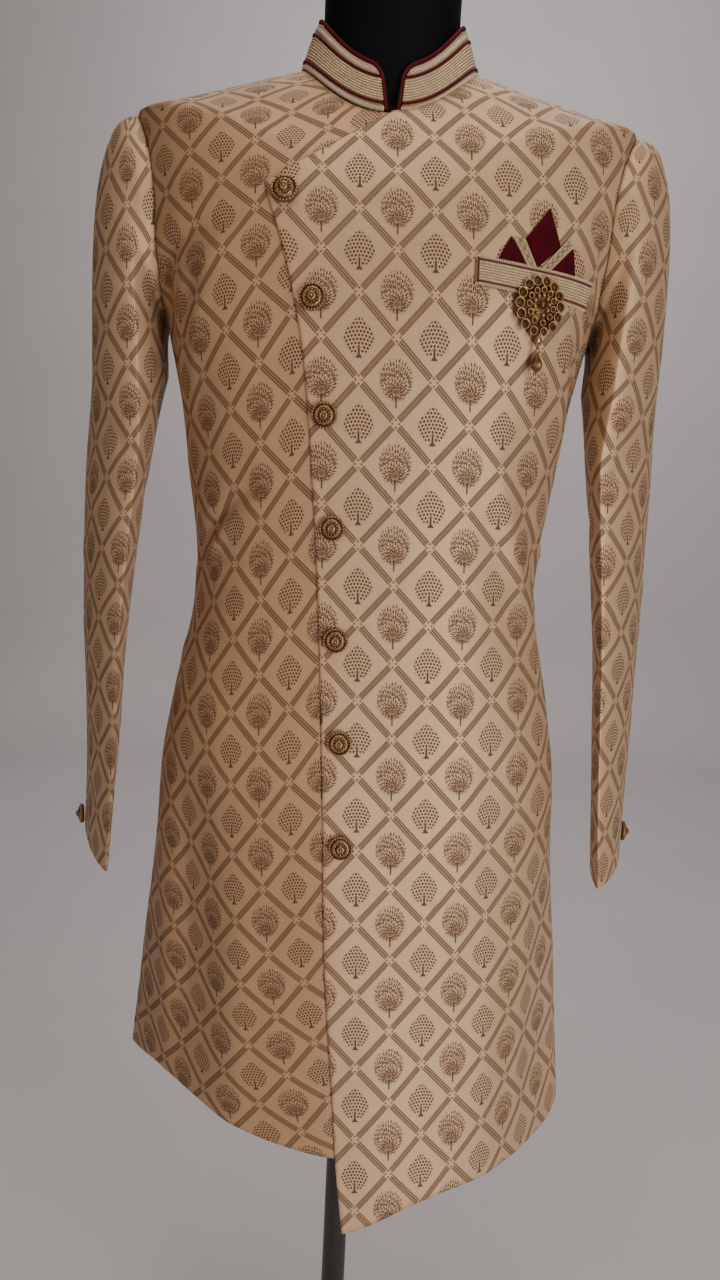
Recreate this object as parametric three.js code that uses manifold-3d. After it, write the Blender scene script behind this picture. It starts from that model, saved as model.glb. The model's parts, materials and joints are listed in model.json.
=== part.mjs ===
// An asymmetric brocade coat, buttoned on the wearer's right, on a limbless dress form.
// Millimetres, +Z up, -Y is the front, +X is the wearer's left, z = 0 is the floor.
// The cloth is a true wall: every panel is a grid of points on one body surface,
// with a second grid one wall thickness behind it.
import * as THREE from 'three';
import { mergeVertices } from 'three/addons/utils/BufferGeometryUtils.js';
import Module from 'manifold-3d';

const wasm = await Module();
wasm.setup();

// ---- driving sizes ----
const WALL = 2;               // brocade with its lining
const SEAM_GAP = 0.3;         // between pieces that are sewn together
const REST_GAP = 0.6;         // between a curved panel and what lies on it
const UNDERARM = 1285;        // height of the armhole's lowest point
const SHOULDER_TIP = 1461;    // height of its highest point
const NECK_SIDE = 1504;       // height of the neck seam at the shoulder seam
const ARMHOLE_BULGE = 17;     // degrees that the armhole cuts into front and back
const SHOULDER_EASE = 3.2;    // how late a ring rises from the chest to the shoulder seam
const SKIRT_LEVEL = 700;      // rows are level above this, and follow the hem below it
const LAP_CLEARANCE = 1.0;    // between underlap and overlap
const BUTTON_RADIUS = 11;
const BROOCH_X = 129.5;
const BROOCH_Z = 1297;
const POLE_RADIUS = 12.7;
const FORM_BOTTOM = 800;
const NECK_RADIUS = 60.5;
const NECK_TOP = 1598;
const BASE_RADIUS = 190;
const BASE_HEIGHT = 16;
const SOCKET_HEIGHT = 46;

const degrees = (value) => (value * Math.PI) / 180;
const lerp = (from, to, share) => from + (to - from) * share;
const clamp = (value, low, high) => Math.min(high, Math.max(low, value));
const point = (x, y, z) => new THREE.Vector3(x, y, z);
const steps = (count) => Array.from({ length: count + 1 }, (_, index) => index / count);

function smoothStep(from, to, value) {
  const share = clamp((value - from) / (to - from), 0, 1);
  return share * share * (3 - 2 * share);
}

// Smooth interpolation of one column of a table, without overshoot between its rows.
function slopeAt(rows, key, column, index) {
  if (index === 0 || index === rows.length - 1) {
    const [low, high] = index === 0 ? [rows[0], rows[1]] : rows.slice(-2);
    return (high[column] - low[column]) / (high[key] - low[key]);
  }
  const before = rows[index][key] - rows[index - 1][key];
  const after = rows[index + 1][key] - rows[index][key];
  const slopeBefore = (rows[index][column] - rows[index - 1][column]) / before;
  const slopeAfter = (rows[index + 1][column] - rows[index][column]) / after;
  if (slopeBefore * slopeAfter <= 0) return 0;
  const weightBefore = before + 2 * after;
  const weightAfter = 2 * before + after;
  return (weightBefore + weightAfter) / (weightAfter / slopeAfter + weightBefore / slopeBefore);
}

function readTable(rows, key, column, at) {
  const last = rows.length - 1;
  if (at <= rows[0][key]) return rows[0][column];
  if (at >= rows[last][key]) return rows[last][column];
  const index = rows.findIndex((row) => row[key] > at) - 1;
  const span = rows[index + 1][key] - rows[index][key];
  const t = (at - rows[index][key]) / span;
  const start = rows[index][column];
  const end = rows[index + 1][column];
  const leave = slopeAt(rows, key, column, index) * span;
  const arrive = slopeAt(rows, key, column, index + 1) * span;
  return start * (1 + 2 * t) * (1 - t) ** 2 + leave * t * (1 - t) ** 2
    + end * t * t * (3 - 2 * t) + arrive * t * t * (t - 1);
}

function bisect(low, high, valueAt) {
  for (let step = 0; step < 40; step += 1) {
    const middle = (low + high) / 2;
    if (valueAt(middle) < 0) low = middle;
    else high = middle;
  }
  return (low + high) / 2;
}

// ---- the body surface ----
// One row per ring, hem to neck: heights at the side seams, front centre and back centre,
// half width, depths of the front and back halves, how square the ring is (2 is an
// ellipse), and how square its front is beside the right and the left side seam.
const BODY_COLUMNS = ['side', 'front', 'back', 'half', 'frontDepth', 'backDepth', 'square',
  'rightSeam', 'leftSeam'];
const BODY_RINGS = [
  [420, 420, 420, 239, 160, 142, 2.3, 1.35, 1.6],
  [560, 560, 560, 226, 143, 132, 2.35, 1.4, 1.65],
  [670, 670, 670, 214, 132, 124, 2.4, 1.65, 1.9],
  [790, 790, 790, 201, 126, 120, 2.45, 2.1, 2.2],
  [870, 870, 870, 195, 122, 116, 2.5, 2.4, 2.4],
  [935, 935, 935, 184, 118, 106, 2.5, 2.5, 2.5],
  [1060, 1060, 1060, 163, 117, 88, 2.5, 2.5, 2.5],
  [1160, 1160, 1160, 173, 122, 94, 2.6, 2.6, 2.6],
  [1285, 1285, 1285, 193, 130, 107, 2.9, 2.9, 2.9],
  [1330, 1322, 1330, 203, 126, 110, 2.8, 2.8, 2.8],
  [1375, 1352, 1374, 213, 119, 109, 2.6, 2.6, 2.6],
  [1420, 1380, 1416, 220, 111, 104, 2.4, 2.4, 2.4],
  [1461, 1405, 1450, 223.5, 101, 97, 2.2, 2.2, 2.2],
  [1472, 1418, 1474, 187, 95, 90, 2.1, 2.1, 2.1],
  [1482, 1428, 1492, 153, 89, 83, 2.05, 2.05, 2.05],
  [1493, 1437, 1507, 116, 83, 77, 2, 2, 2],
  [1504, 1446, 1520, 79, 75, 70, 2, 2, 2],
].map((row) => Object.fromEntries(row.map((value, at) => [BODY_COLUMNS[at], value])));

// A point where the ring at this side height crosses the direction at this angle
// (0 is the front, 90 degrees the wearer's left, 180 the back).
function ringPoint(angle, side, ring) {
  const across = Math.abs(Math.sin(angle));
  const along = Math.abs(Math.cos(angle));
  const faces = Math.cos(angle) >= 0 ? 'front' : 'back';
  const seam = Math.sin(angle) > 0 ? ring.leftSeam : ring.rightSeam;
  const power = faces === 'front' ? lerp(ring.square, seam ?? ring.square, across ** 2) : ring.square;
  const sum = (across / ring.half) ** power + (along / ring[`${faces}Depth`]) ** power;
  const radius = sum ** (-1 / power);
  const rise = lerp(ring[faces], side, across ** SHOULDER_EASE);
  return point(radius * Math.sin(angle), -radius * Math.cos(angle), rise);
}

function bodyPoint(angle, side) {
  const ring = {};
  for (const column of BODY_COLUMNS) ring[column] = readTable(BODY_RINGS, 'side', column, side);
  return ringPoint(angle, side, ring);
}

function bodyNormal(angle, side) {
  const nudge = 0.5;
  const up = bodyPoint(angle, side + nudge).sub(bodyPoint(angle, side - nudge));
  const round = bodyPoint(angle + 0.004, side).sub(bodyPoint(angle - 0.004, side));
  return round.cross(up).normalize();
}

// The largest soft folds: where each starts and ends (angle and height), its half width,
// and its depth outwards, which is negative for a trough.
const FOLDS = [
  { angle: -62, top: 890, toAngle: -58, bottom: 600, width: 24, depth: -7 },
  { angle: -42, top: 800, toAngle: -38, bottom: 500, width: 24, depth: 4 },
  { angle: -47, top: 1138, toAngle: -68, bottom: 1080, width: 13, depth: -5 },
  { angle: 44, top: 1168, toAngle: 72, bottom: 1000, width: 15, depth: 5 },
  { angle: 64, top: 1110, toAngle: 88, bottom: 1010, width: 13, depth: -4 },
  { angle: 76, top: 800, toAngle: 74, bottom: 520, width: 26, depth: -5 },
  { angle: 52, top: 700, toAngle: 48, bottom: 440, width: 26, depth: 4 },
  { angle: -58, top: 1350, toAngle: -63, bottom: 1275, width: 13, depth: -6 },
  { angle: 65, top: 1284, toAngle: 71, bottom: 1225, width: 13, depth: -5 },
  { angle: 128, top: 760, toAngle: 130, bottom: 470, width: 26, depth: 6 },
  { angle: 152, top: 820, toAngle: 150, bottom: 470, width: 24, depth: -6 },
  { angle: 178, top: 740, toAngle: 181, bottom: 470, width: 26, depth: 5 },
  { angle: 206, top: 830, toAngle: 208, bottom: 470, width: 24, depth: -6 },
  { angle: 233, top: 760, toAngle: 231, bottom: 470, width: 26, depth: 6 },
  { angle: 150, top: 1110, toAngle: 118, bottom: 1075, width: 14, depth: -4 },
  { angle: 212, top: 1105, toAngle: 244, bottom: 1070, width: 14, depth: -4 },
];
const FOLD_RADIUS = 160;      // turns a fold's angles into distances along the cloth

function foldDepth(angle, side) {
  let depth = 0;
  for (const fold of FOLDS) {
    const share = (fold.top - side) / (fold.top - fold.bottom);
    const middle = degrees(lerp(fold.angle, fold.toAngle, clamp(share, 0, 1)));
    const turn = Math.atan2(Math.sin(angle - middle), Math.cos(angle - middle));
    const across = (turn * FOLD_RADIUS) / fold.width;
    const past = Math.max(0, share - 1, -share) * (fold.top - fold.bottom);
    depth += fold.depth * Math.exp(-across * across - (past / 30) ** 2)
      * Math.sin(Math.PI * clamp(share * 0.8 + 0.1, 0.1, 0.9));
  }
  return depth;
}

// A point on the cloth, moved out from the body surface by this lift.
function clothPoint(angle, side, lift) {
  const out = lift + foldDepth(angle, side);
  return bodyPoint(angle, side).addScaledVector(bodyNormal(angle, side), out);
}

// ---- outlines of the panels ----
// The overlap's free edge: sideways place at each height, hem tip to the top button's
// corner, and from there straight to the neck.
const FLAP_EDGE = [
  { height: 455, x: 7 }, { height: 530, x: -3 }, { height: 578, x: -7.5 }, { height: 716, x: -21 },
  { height: 866, x: -29 }, { height: 1010, x: -38 }, { height: 1147, x: -49 },
  { height: 1254, x: -61 }, { height: 1316, x: -75 }, { height: 1383, x: -97.5 },
];
const FLAP_CORNER = FLAP_EDGE.at(-1);
const NECK_NOTCH = { height: 1445, x: 0 };

function flapEdgeX(height) {
  if (height <= FLAP_CORNER.height) return readTable(FLAP_EDGE, 'height', 'x', height);
  const share = (height - FLAP_CORNER.height) / (NECK_NOTCH.height - FLAP_CORNER.height);
  return lerp(FLAP_CORNER.x, NECK_NOTCH.x, clamp(share, 0, 1));
}

// The underlap's hidden edge runs well behind the overlap.
const UNDERLAP_EDGE = [
  { height: 424, x: 62 }, { height: 1300, x: 52 }, { height: 1400, x: 34 }, { height: 1446, x: 16 },
];
const underlapEdgeX = (height) => readTable(UNDERLAP_EDGE, 'height', 'x', height);

// Hem heights by angle for each panel.
const OVERLAP_HEM = [
  { angle: 0, height: 460 }, { angle: 2.5, height: 461 }, { angle: 27, height: 485 },
  { angle: 40, height: 493 }, { angle: 54, height: 497 }, { angle: 70, height: 499 },
  { angle: 82, height: 503 }, { angle: 90, height: 511 },
];
const UNDERLAP_HEM = [
  { angle: -90, height: 547 }, { angle: -70, height: 555 }, { angle: -55, height: 553 },
  { angle: -38, height: 546 }, { angle: -24, height: 539 }, { angle: 0, height: 531 },
  { angle: 25, height: 528 },
];
const BACK_HEM = [
  { angle: 90, height: 511 }, { angle: 130, height: 523 }, { angle: 180, height: 534 },
  { angle: 230, height: 541 }, { angle: 270, height: 547 },
];

// A row is a function that gives the side height for an angle.
const hemRow = (hem, share) => (angle) => {
  const low = readTable(hem, 'angle', 'height', (angle * 180) / Math.PI);
  return lerp(low, SKIRT_LEVEL, share);
};
const levelRow = (side) => () => side;

// The angle where a row crosses an edge that is given as sideways place at each height.
function edgeAngle(row, edgeX) {
  return bisect(degrees(-85), degrees(60), (angle) => {
    const at = bodyPoint(angle, row(angle));
    return at.x - edgeX(at.z);
  });
}

// The front's outer edge: side seam, armhole, then shoulder seam, as degrees before 90.
function seamInset(side) {
  const share = (side - UNDERARM) / (SHOULDER_TIP - UNDERARM);
  const bulge = share > 0 && share < 1 ? ARMHOLE_BULGE * 2 * Math.sqrt(share * (1 - share)) : 0;
  const half = readTable(BODY_RINGS, 'side', 'half', side);
  return degrees(bulge) + SEAM_GAP / 2 / half;
}

const ARMHOLE_ROWS = 9;
function armholeHeights() {
  return steps(ARMHOLE_ROWS).map((share) => {
    const rise = (1 - Math.cos(Math.PI * share)) / 2;
    return lerp(UNDERARM, SHOULDER_TIP, rise);
  });
}

// The ring on which the overlap's corner lies.
const cornerSide = bisect(1380, 1450, (side) => {
  const row = levelRow(side);
  return bodyPoint(edgeAngle(row, flapEdgeX), side).z - FLAP_CORNER.height;
});

function heightsAboveSkirt() {
  const skirt = [SKIRT_LEVEL, 775, 850, 925, 990, 1050, 1105, 1165, 1230];
  const shoulder = [1465.5, 1472, 1482, 1493, NECK_SIDE];
  return [...skirt, ...armholeHeights(), cornerSide, ...shoulder].sort((a, b) => a - b);
}

const SKIRT_ROWS = [0, 0.2, 0.4, 0.6, 0.8];
function panelRows(hem) {
  return [...SKIRT_ROWS.map((share) => hemRow(hem, share)), ...heightsAboveSkirt().map(levelRow)];
}

// ---- closed solids from grids ----
// Two grids of the same shape become one closed wall. A closed grid joins its last column
// to its first.
function wallGeometry(outer, inner, closed = false) {
  const rows = outer.length;
  const columns = outer[0].length;
  const positions = [];
  for (const grid of [outer, inner]) {
    for (const row of grid) for (const at of row) positions.push(at.x, at.y, at.z);
  }
  const index = [];
  const vertex = (layer, row, column) => (layer * rows + row) * columns + (column % columns);
  const quad = (a, b, c, d) => index.push(a, b, c, a, c, d);
  const cells = closed ? columns : columns - 1;
  for (let row = 0; row < rows - 1; row += 1) {
    for (let column = 0; column < cells; column += 1) {
      const next = column + 1;
      quad(vertex(0, row, column), vertex(0, row, next),
        vertex(0, row + 1, next), vertex(0, row + 1, column));
      quad(vertex(1, row, column), vertex(1, row + 1, column),
        vertex(1, row + 1, next), vertex(1, row, next));
    }
  }
  for (let column = 0; column < cells; column += 1) {
    const next = column + 1;
    const top = rows - 1;
    quad(vertex(0, 0, next), vertex(0, 0, column), vertex(1, 0, column), vertex(1, 0, next));
    quad(vertex(0, top, column), vertex(0, top, next), vertex(1, top, next), vertex(1, top, column));
  }
  if (!closed) {
    const last = columns - 1;
    for (let row = 0; row < rows - 1; row += 1) {
      quad(vertex(0, row, 0), vertex(0, row + 1, 0), vertex(1, row + 1, 0), vertex(1, row, 0));
      quad(vertex(0, row + 1, last), vertex(0, row, last), vertex(1, row, last),
        vertex(1, row + 1, last));
    }
  }
  return outwardGeometry(positions, index);
}

function signedVolume(positions, index) {
  let volume = 0;
  const corner = (at) => point(positions[at * 3], positions[at * 3 + 1], positions[at * 3 + 2]);
  for (let at = 0; at < index.length; at += 3) {
    const [a, b, c] = [corner(index[at]), corner(index[at + 1]), corner(index[at + 2])];
    volume += a.dot(b.cross(c)) / 6;
  }
  return volume;
}

function outwardGeometry(positions, index) {
  if (signedVolume(positions, index) < 0) {
    for (let at = 0; at < index.length; at += 3) {
      [index[at + 1], index[at + 2]] = [index[at + 2], index[at + 1]];
    }
  }
  const geometry = new THREE.BufferGeometry();
  geometry.setAttribute('position', new THREE.Float32BufferAttribute(positions, 3));
  geometry.setIndex(index);
  geometry.computeVertexNormals();
  return geometry;
}

// Closed stack of rings with a flat fan at each end.
function stackGeometry(rings) {
  const count = rings[0].length;
  const positions = [];
  const index = [];
  for (const ring of rings) for (const at of ring) positions.push(at.x, at.y, at.z);
  for (let row = 0; row < rings.length - 1; row += 1) {
    for (let column = 0; column < count; column += 1) {
      const next = (column + 1) % count;
      const [a, b] = [row * count + column, row * count + next];
      index.push(a, b, b + count, a, b + count, a + count);
    }
  }
  for (const [row, order] of [[0, -1], [rings.length - 1, 1]]) {
    const centre = rings[row].reduce((sum, at) => sum.add(at), point(0, 0, 0)).divideScalar(count);
    const hub = positions.length / 3;
    positions.push(centre.x, centre.y, centre.z);
    for (let column = 0; column < count; column += 1) {
      const [a, b] = [row * count + column, row * count + ((column + 1) % count)];
      index.push(hub, order > 0 ? a : b, order > 0 ? b : a);
    }
  }
  return outwardGeometry(positions, index);
}

// ---- joining solids ----
function toSolid(geometry) {
  const bare = geometry.clone();
  bare.deleteAttribute('normal');
  bare.deleteAttribute('uv');
  const merged = mergeVertices(bare, 1e-4);
  return new wasm.Manifold(new wasm.Mesh({
    numProp: 3,
    vertProperties: new Float32Array(merged.attributes.position.array),
    triVerts: new Uint32Array(merged.index.array),
  }));
}

function joined(geometries) {
  const mesh = geometries.map(toSolid).reduce((sum, solid) => sum.add(solid)).getMesh();
  const geometry = new THREE.BufferGeometry();
  const positions = new Float32Array(mesh.vertProperties);
  geometry.setAttribute('position', new THREE.BufferAttribute(positions, 3));
  geometry.setIndex(new THREE.BufferAttribute(new Uint32Array(mesh.triVerts), 1));
  geometry.computeVertexNormals();
  return geometry;
}

// ---- materials ----
const paint = (color, roughness, metalness = 0) => (
  new THREE.MeshStandardMaterial({ color, roughness, metalness }));
const BROCADE = paint(0xc2a67c, 0.6);
const TRIM = paint(0xcdb78a, 0.5);
const MAROON = paint(0x6e1620, 0.5);
const SATIN = paint(0x4a0a18, 0.35);
const GOLD = paint(0x9a7440, 0.35, 0.9);
const FORM_BLACK = paint(0x0c0c0d, 0.7);
const STEEL_BLACK = paint(0x141414, 0.35, 0.6);

const suit = new THREE.Group();
function place(name, geometry, material, parent = suit) {
  const mesh = new THREE.Mesh(geometry, material);
  mesh.name = name;
  parent.add(mesh);
  return mesh;
}

// ---- front, underlap and back ----
// The overlap stands off the underlap, and settles onto the body surface past its edge.
const overlapLift = (x) => (WALL + LAP_CLEARANCE) * (1 - smoothStep(72, 125, x));

function panelGeometry(rows, columns, firstAngle, lastAngle, liftAt) {
  const grids = [0, -WALL].map((depth) => rows.map((row) => {
    const first = firstAngle(row);
    const last = lastAngle(row);
    return steps(columns).map((share) => {
      const angle = lerp(first, last, share);
      const side = row(angle);
      return clothPoint(angle, side, liftAt(bodyPoint(angle, side).x) + depth);
    });
  }));
  return wallGeometry(grids[0], grids[1]);
}

const leftSeam = (row) => degrees(90) - seamInset(row(degrees(90)));
const rightSeam = (row) => degrees(-90) + seamInset(row(degrees(-90)));
const flat = () => 0;

place('front_overlap', panelGeometry(panelRows(OVERLAP_HEM), 17,
  (row) => edgeAngle(row, flapEdgeX), leftSeam, overlapLift), BROCADE);
place('front_underlap', panelGeometry(panelRows(UNDERLAP_HEM), 14,
  rightSeam, (row) => edgeAngle(row, underlapEdgeX), flat), BROCADE);
place('back', panelGeometry(panelRows(BACK_HEM), 18,
  (row) => degrees(90) + seamInset(row(degrees(90))),
  (row) => degrees(270) - seamInset(row(degrees(270))), flat), BROCADE);

// ---- sleeves ----
// One row per section below the cap: height, centre, half length from crease to crease,
// half thickness, and how far the front crease is turned in towards the body.
const SLEEVE_RINGS = [
  { height: 772, x: 258, y: 4, length: 60, thick: 14, turn: 19 },
  { height: 880, x: 253, y: 2, length: 62, thick: 16, turn: 23 },
  { height: 1010, x: 248, y: 0, length: 66, thick: 20, turn: 25 },
  { height: 1160, x: 238, y: 0, length: 72, thick: 28, turn: 27 },
  { height: 1235, x: 231, y: 0, length: 74, thick: 35, turn: 17 },
];
const CAP_LEVEL = 1235;
const CUFF_SLANT = 0.17;      // the cuff is lower at its front crease
const SLEEVE_COLUMNS = 18;
const CAP_ROWS = [0, 0.07, 0.18, 0.32, 0.48, 0.66, 0.84];
const ARM_HEIGHTS = [1235, 1180, 1125, 1070, 1015, 960, 905, 850, 810, 772];
const CREASE_SHARPNESS = 1.5;

// Around a sleeve, 0 is the outside, 90 degrees the front, 180 the side next the body.
function sleevePoint(around, height, inset) {
  const read = (column) => readTable(SLEEVE_RINGS, 'height', column, height);
  const turn = degrees(read('turn'));
  const along = Math.sin(around) * (read('length') - inset);
  const sharp = Math.sin(around) > 0 ? CREASE_SHARPNESS : 1.15;
  const side = Math.sign(Math.cos(around)) * Math.abs(Math.cos(around)) ** sharp;
  const across = side * (read('thick') - inset);
  const x = read('x') - Math.sin(turn) * along + Math.cos(turn) * across;
  const y = read('y') - Math.cos(turn) * along - Math.sin(turn) * across;
  const slant = CUFF_SLANT * smoothStep(900, 772, height) * y;
  return point(x, y, height + slant);
}

// The armhole's edge, with the right one turned over to the left side.
function armholePoint(around, mirror) {
  const side = lerp(UNDERARM, SHOULDER_TIP, (1 + Math.cos(around)) / 2);
  const angle = degrees(90 - ARMHOLE_BULGE * Math.sin(around));
  const at = clothPoint(mirror * angle, side, 0);
  at.x *= mirror;
  return at;
}

// The cap is a Hermite curve from each armhole point, leaving it sideways, to the first
// section of the arm, which it meets going down.
function capPoint(around, share, inset, mirror) {
  const high = (1 + Math.cos(around)) / 2;
  const middle = point(208, 0, (UNDERARM + SHOULDER_TIP) / 2);
  const rim = armholePoint(around, mirror);
  const inward = middle.clone().sub(rim);
  inward.x = 0;
  rim.addScaledVector(inward.normalize(), SEAM_GAP + 0.1 + inset);
  rim.x += SEAM_GAP;
  const end = sleevePoint(around, CAP_LEVEL, inset);
  const reach = lerp(16, 150, high);
  const leave = point(reach, -0.3 * reach * Math.sin(around), -0.1 * reach);
  const arrive = point(0, 0, -1.15 * (rim.z - end.z));
  const [back, on] = [(1 - share) ** 2, share * share];
  return rim.multiplyScalar(back * (1 + 2 * share)).addScaledVector(leave, back * share)
    .addScaledVector(end, on * (3 - 2 * share)).addScaledVector(arrive, on * (share - 1));
}

function sleeveGeometry(mirror) {
  const [outer, inner] = [0, WALL].map((inset) => {
    const turns = steps(SLEEVE_COLUMNS).slice(0, -1).map((share) => share * Math.PI * 2);
    const cap = CAP_ROWS.map((share) => (
      turns.map((around) => capPoint(around, share, inset, mirror))));
    const arm = ARM_HEIGHTS.map((height) => (
      turns.map((around) => sleevePoint(around, height, inset))));
    return [...cap, ...arm].map((row) => row.map((at) => point(at.x * mirror, at.y, at.z)));
  });
  return wallGeometry(outer, inner, true);
}

place('sleeve_left', sleeveGeometry(1), BROCADE);
place('sleeve_right', sleeveGeometry(-1), BROCADE);

// ---- collar ----
const COLLAR_WALL = 2.4;
const COLLAR_HEIGHT = 38;
const COLLAR_CORNER = 9;      // radius of the rounded top corners
const COLLAR_RUN = 226;       // from a front end to the centre back
const COLLAR_BASE = { front: 1446.9, side: 1504.7, back: 1520.7, half: 79, frontDepth: 75, backDepth: 70 };
const COLLAR_TOP = { front: 1483, side: 1543, back: 1560, half: 66, frontDepth: 67, backDepth: 65 };
const COLLAR_GAP_BASE = 6;    // half the gap between the front ends, at the neck seam
const COLLAR_GAP_TOP = 12;

// A point of the collar's wearer's-left half: run is the distance from the front end,
// rise the height up the band, inset the depth behind the outer face.
function collarPoint(run, rise, inset) {
  const share = rise / COLLAR_HEIGHT;
  const ring = { square: 2 };
  for (const column of ['front', 'back', 'half', 'frontDepth', 'backDepth']) {
    ring[column] = lerp(COLLAR_BASE[column], COLLAR_TOP[column], share);
  }
  for (const column of ['half', 'frontDepth', 'backDepth']) ring[column] -= inset;
  const gap = lerp(COLLAR_GAP_BASE, COLLAR_GAP_TOP, share) / ring.frontDepth;
  const angle = lerp(gap, Math.PI, run / COLLAR_RUN);
  return ringPoint(angle, lerp(COLLAR_BASE.side, COLLAR_TOP.side, share), ring);
}

// The whole band from the wearer's-left end round the back to the other end.
function aroundCollar(runs, pointAt) {
  const left = runs.map(pointAt);
  const right = left.slice(0, -1).reverse().map((at) => point(-at.x, at.y, at.z));
  return [...left, ...right];
}

function collarTop(run) {
  const past = Math.max(0, COLLAR_CORNER - run);
  return COLLAR_HEIGHT - COLLAR_CORNER + Math.sqrt(COLLAR_CORNER ** 2 - past ** 2);
}

const cornerRuns = steps(4).map((share) => COLLAR_CORNER * (1 - Math.cos(share * Math.PI / 2)));
const collarRuns = [...cornerRuns, ...steps(18).slice(1).map((share) => (
  lerp(COLLAR_CORNER, COLLAR_RUN, share)))];

function collarGeometry() {
  const [outer, inner] = [0, COLLAR_WALL].map((inset) => steps(3).map((share) => (
    aroundCollar(collarRuns, (run) => collarPoint(run, share * collarTop(run), inset)))));
  return wallGeometry(outer, inner);
}

function collarLineGeometry(rise) {
  const [outer, inner] = [-REST_GAP - 1, -REST_GAP].map((inset) => [0, 2.2].map((width) => (
    aroundCollar(collarRuns.filter((run) => collarTop(run) > rise + 3),
      (run) => collarPoint(run, rise + width, inset)))));
  return wallGeometry(outer, inner);
}

// A round cord along a list of points.
function cordGeometry(path, radius, sides, count) {
  const section = new THREE.Shape();
  for (let side = 0; side < sides; side += 1) {
    const turn = (side / sides) * Math.PI * 2;
    const move = side === 0 ? 'moveTo' : 'lineTo';
    section[move](radius * Math.cos(turn), radius * Math.sin(turn));
  }
  section.closePath();
  const curve = new THREE.CatmullRomCurve3(path, false, 'centripetal');
  return new THREE.ExtrudeGeometry(section, { steps: count, extrudePath: curve, bevelEnabled: false });
}

const PIPING_RADIUS = 1.5;
function pipingGeometry() {
  const off = PIPING_RADIUS + 2 * REST_GAP;
  const middle = COLLAR_WALL / 2;
  const edge = [3, 12, 21].map((rise) => collarPoint(-off, rise, middle));
  const corner = steps(3).map((share) => {
    const turn = share * Math.PI / 2;
    const reach = COLLAR_CORNER + off;
    return collarPoint(COLLAR_CORNER - reach * Math.cos(turn),
      COLLAR_HEIGHT - COLLAR_CORNER + reach * Math.sin(turn), middle);
  });
  const top = steps(18).slice(1).map((share) => (
    collarPoint(lerp(COLLAR_CORNER, COLLAR_RUN, share), COLLAR_HEIGHT + off, middle)));
  const left = [...edge, ...corner, ...top];
  const right = left.slice(0, -1).reverse().map((at) => point(-at.x, at.y, at.z));
  return cordGeometry([...left, ...right], PIPING_RADIUS, 6, 60);
}

place('collar', collarGeometry(), TRIM);
place('collar_line_upper', collarLineGeometry(28.5), MAROON);
place('collar_line_lower', collarLineGeometry(6), MAROON);
place('collar_piping', pipingGeometry(), MAROON);

// ---- what lies on the overlap ----
// Angle and side height of the body surface at this sideways place and height.
function locate(x, z) {
  let side = z;
  let angle = 0;
  for (let step = 0; step < 12; step += 1) {
    angle = bisect(degrees(-80), degrees(80), (value) => bodyPoint(value, side).x - x);
    side += z - bodyPoint(angle, side).z;
  }
  return { angle, side };
}

function onOverlap(x, z, lift) {
  const { angle, side } = locate(x, z);
  return clothPoint(angle, side, overlapLift(x) + lift);
}

// A four-sided patch on the overlap, its corners in the order bottom left, bottom right,
// top right, top left.
function patchGeometry(corners, columns, rows, lift, thickness) {
  const [outer, inner] = [lift + thickness, lift].map((out) => steps(rows).map((up) => (
    steps(columns).map((along) => {
      const low = [0, 1].map((axis) => lerp(corners[0][axis], corners[1][axis], along));
      const high = [0, 1].map((axis) => lerp(corners[3][axis], corners[2][axis], along));
      return onOverlap(lerp(low[0], high[0], up), lerp(low[1], high[1], up), out);
    }))));
  return wallGeometry(outer, inner);
}

const WELT = [[76, 1309], [173, 1299.5], [177, 1321], [76, 1329.8]];
const WELT_WALL = 2;
place('pocket_welt', patchGeometry(WELT, 8, 1, REST_GAP, WELT_WALL), TRIM);

// The folded points and ribbons stand out of the pocket: corners of each, in the order
// bottom left, bottom right, top right, top left, from just above the welt.
const POCKET_POINTS = [
  { name: 'pocket_square_left', corners: [[93.5, 1329], [117.2, 1327], [104.4, 1348.4], [103.4, 1348.4]] },
  { name: 'pocket_square_middle', corners: [[126.9, 1326.3], [145.9, 1345], [136.1, 1375], [115.9, 1348]] },
  { name: 'pocket_square_right', corners: [[139.4, 1325.1], [160.5, 1323.3], [158, 1344.8], [157.2, 1344.8]] },
];
const POCKET_BANDS = [
  { name: 'pocket_band_left', corners: [[118.4, 1326.9], [126.1, 1326.3], [115.2, 1348], [105.3, 1348.6]] },
  { name: 'pocket_band_right', corners: [[130.4, 1326], [137.6, 1325.4], [156.3, 1347.4], [152.6, 1351.6]] },
];
for (const { name, corners } of POCKET_POINTS) {
  place(name, patchGeometry(corners, 2, 3, REST_GAP, 1.4), SATIN);
}
for (const { name, corners } of POCKET_BANDS) {
  place(name, patchGeometry(corners, 2, 3, REST_GAP, 1.4), TRIM);
}

// ---- buttons ----
// Half profile, outwards and up: flat back, ringed rim, dish, dome and raised knob.
const BUTTON_PROFILE = [
  [0, 0], [0.82, 0], [1, 0.14], [0.94, 0.34], [0.76, 0.3], [0.55, 0.46], [0.3, 0.56],
  [0.24, 0.74], [0, 0.8],
];
function buttonGeometry(radius) {
  const outline = BUTTON_PROFILE.map(([out, up]) => new THREE.Vector2(out * radius, up * radius));
  const geometry = new THREE.LatheGeometry(outline, 12);
  geometry.rotateX(Math.PI / 2);
  return geometry;
}

// Stands a piece that faces its own +Z on a place, with +Z along this direction.
function faceAlong(mesh, at, direction) {
  mesh.position.copy(at);
  mesh.quaternion.setFromUnitVectors(point(0, 0, 1), direction);
}

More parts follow.
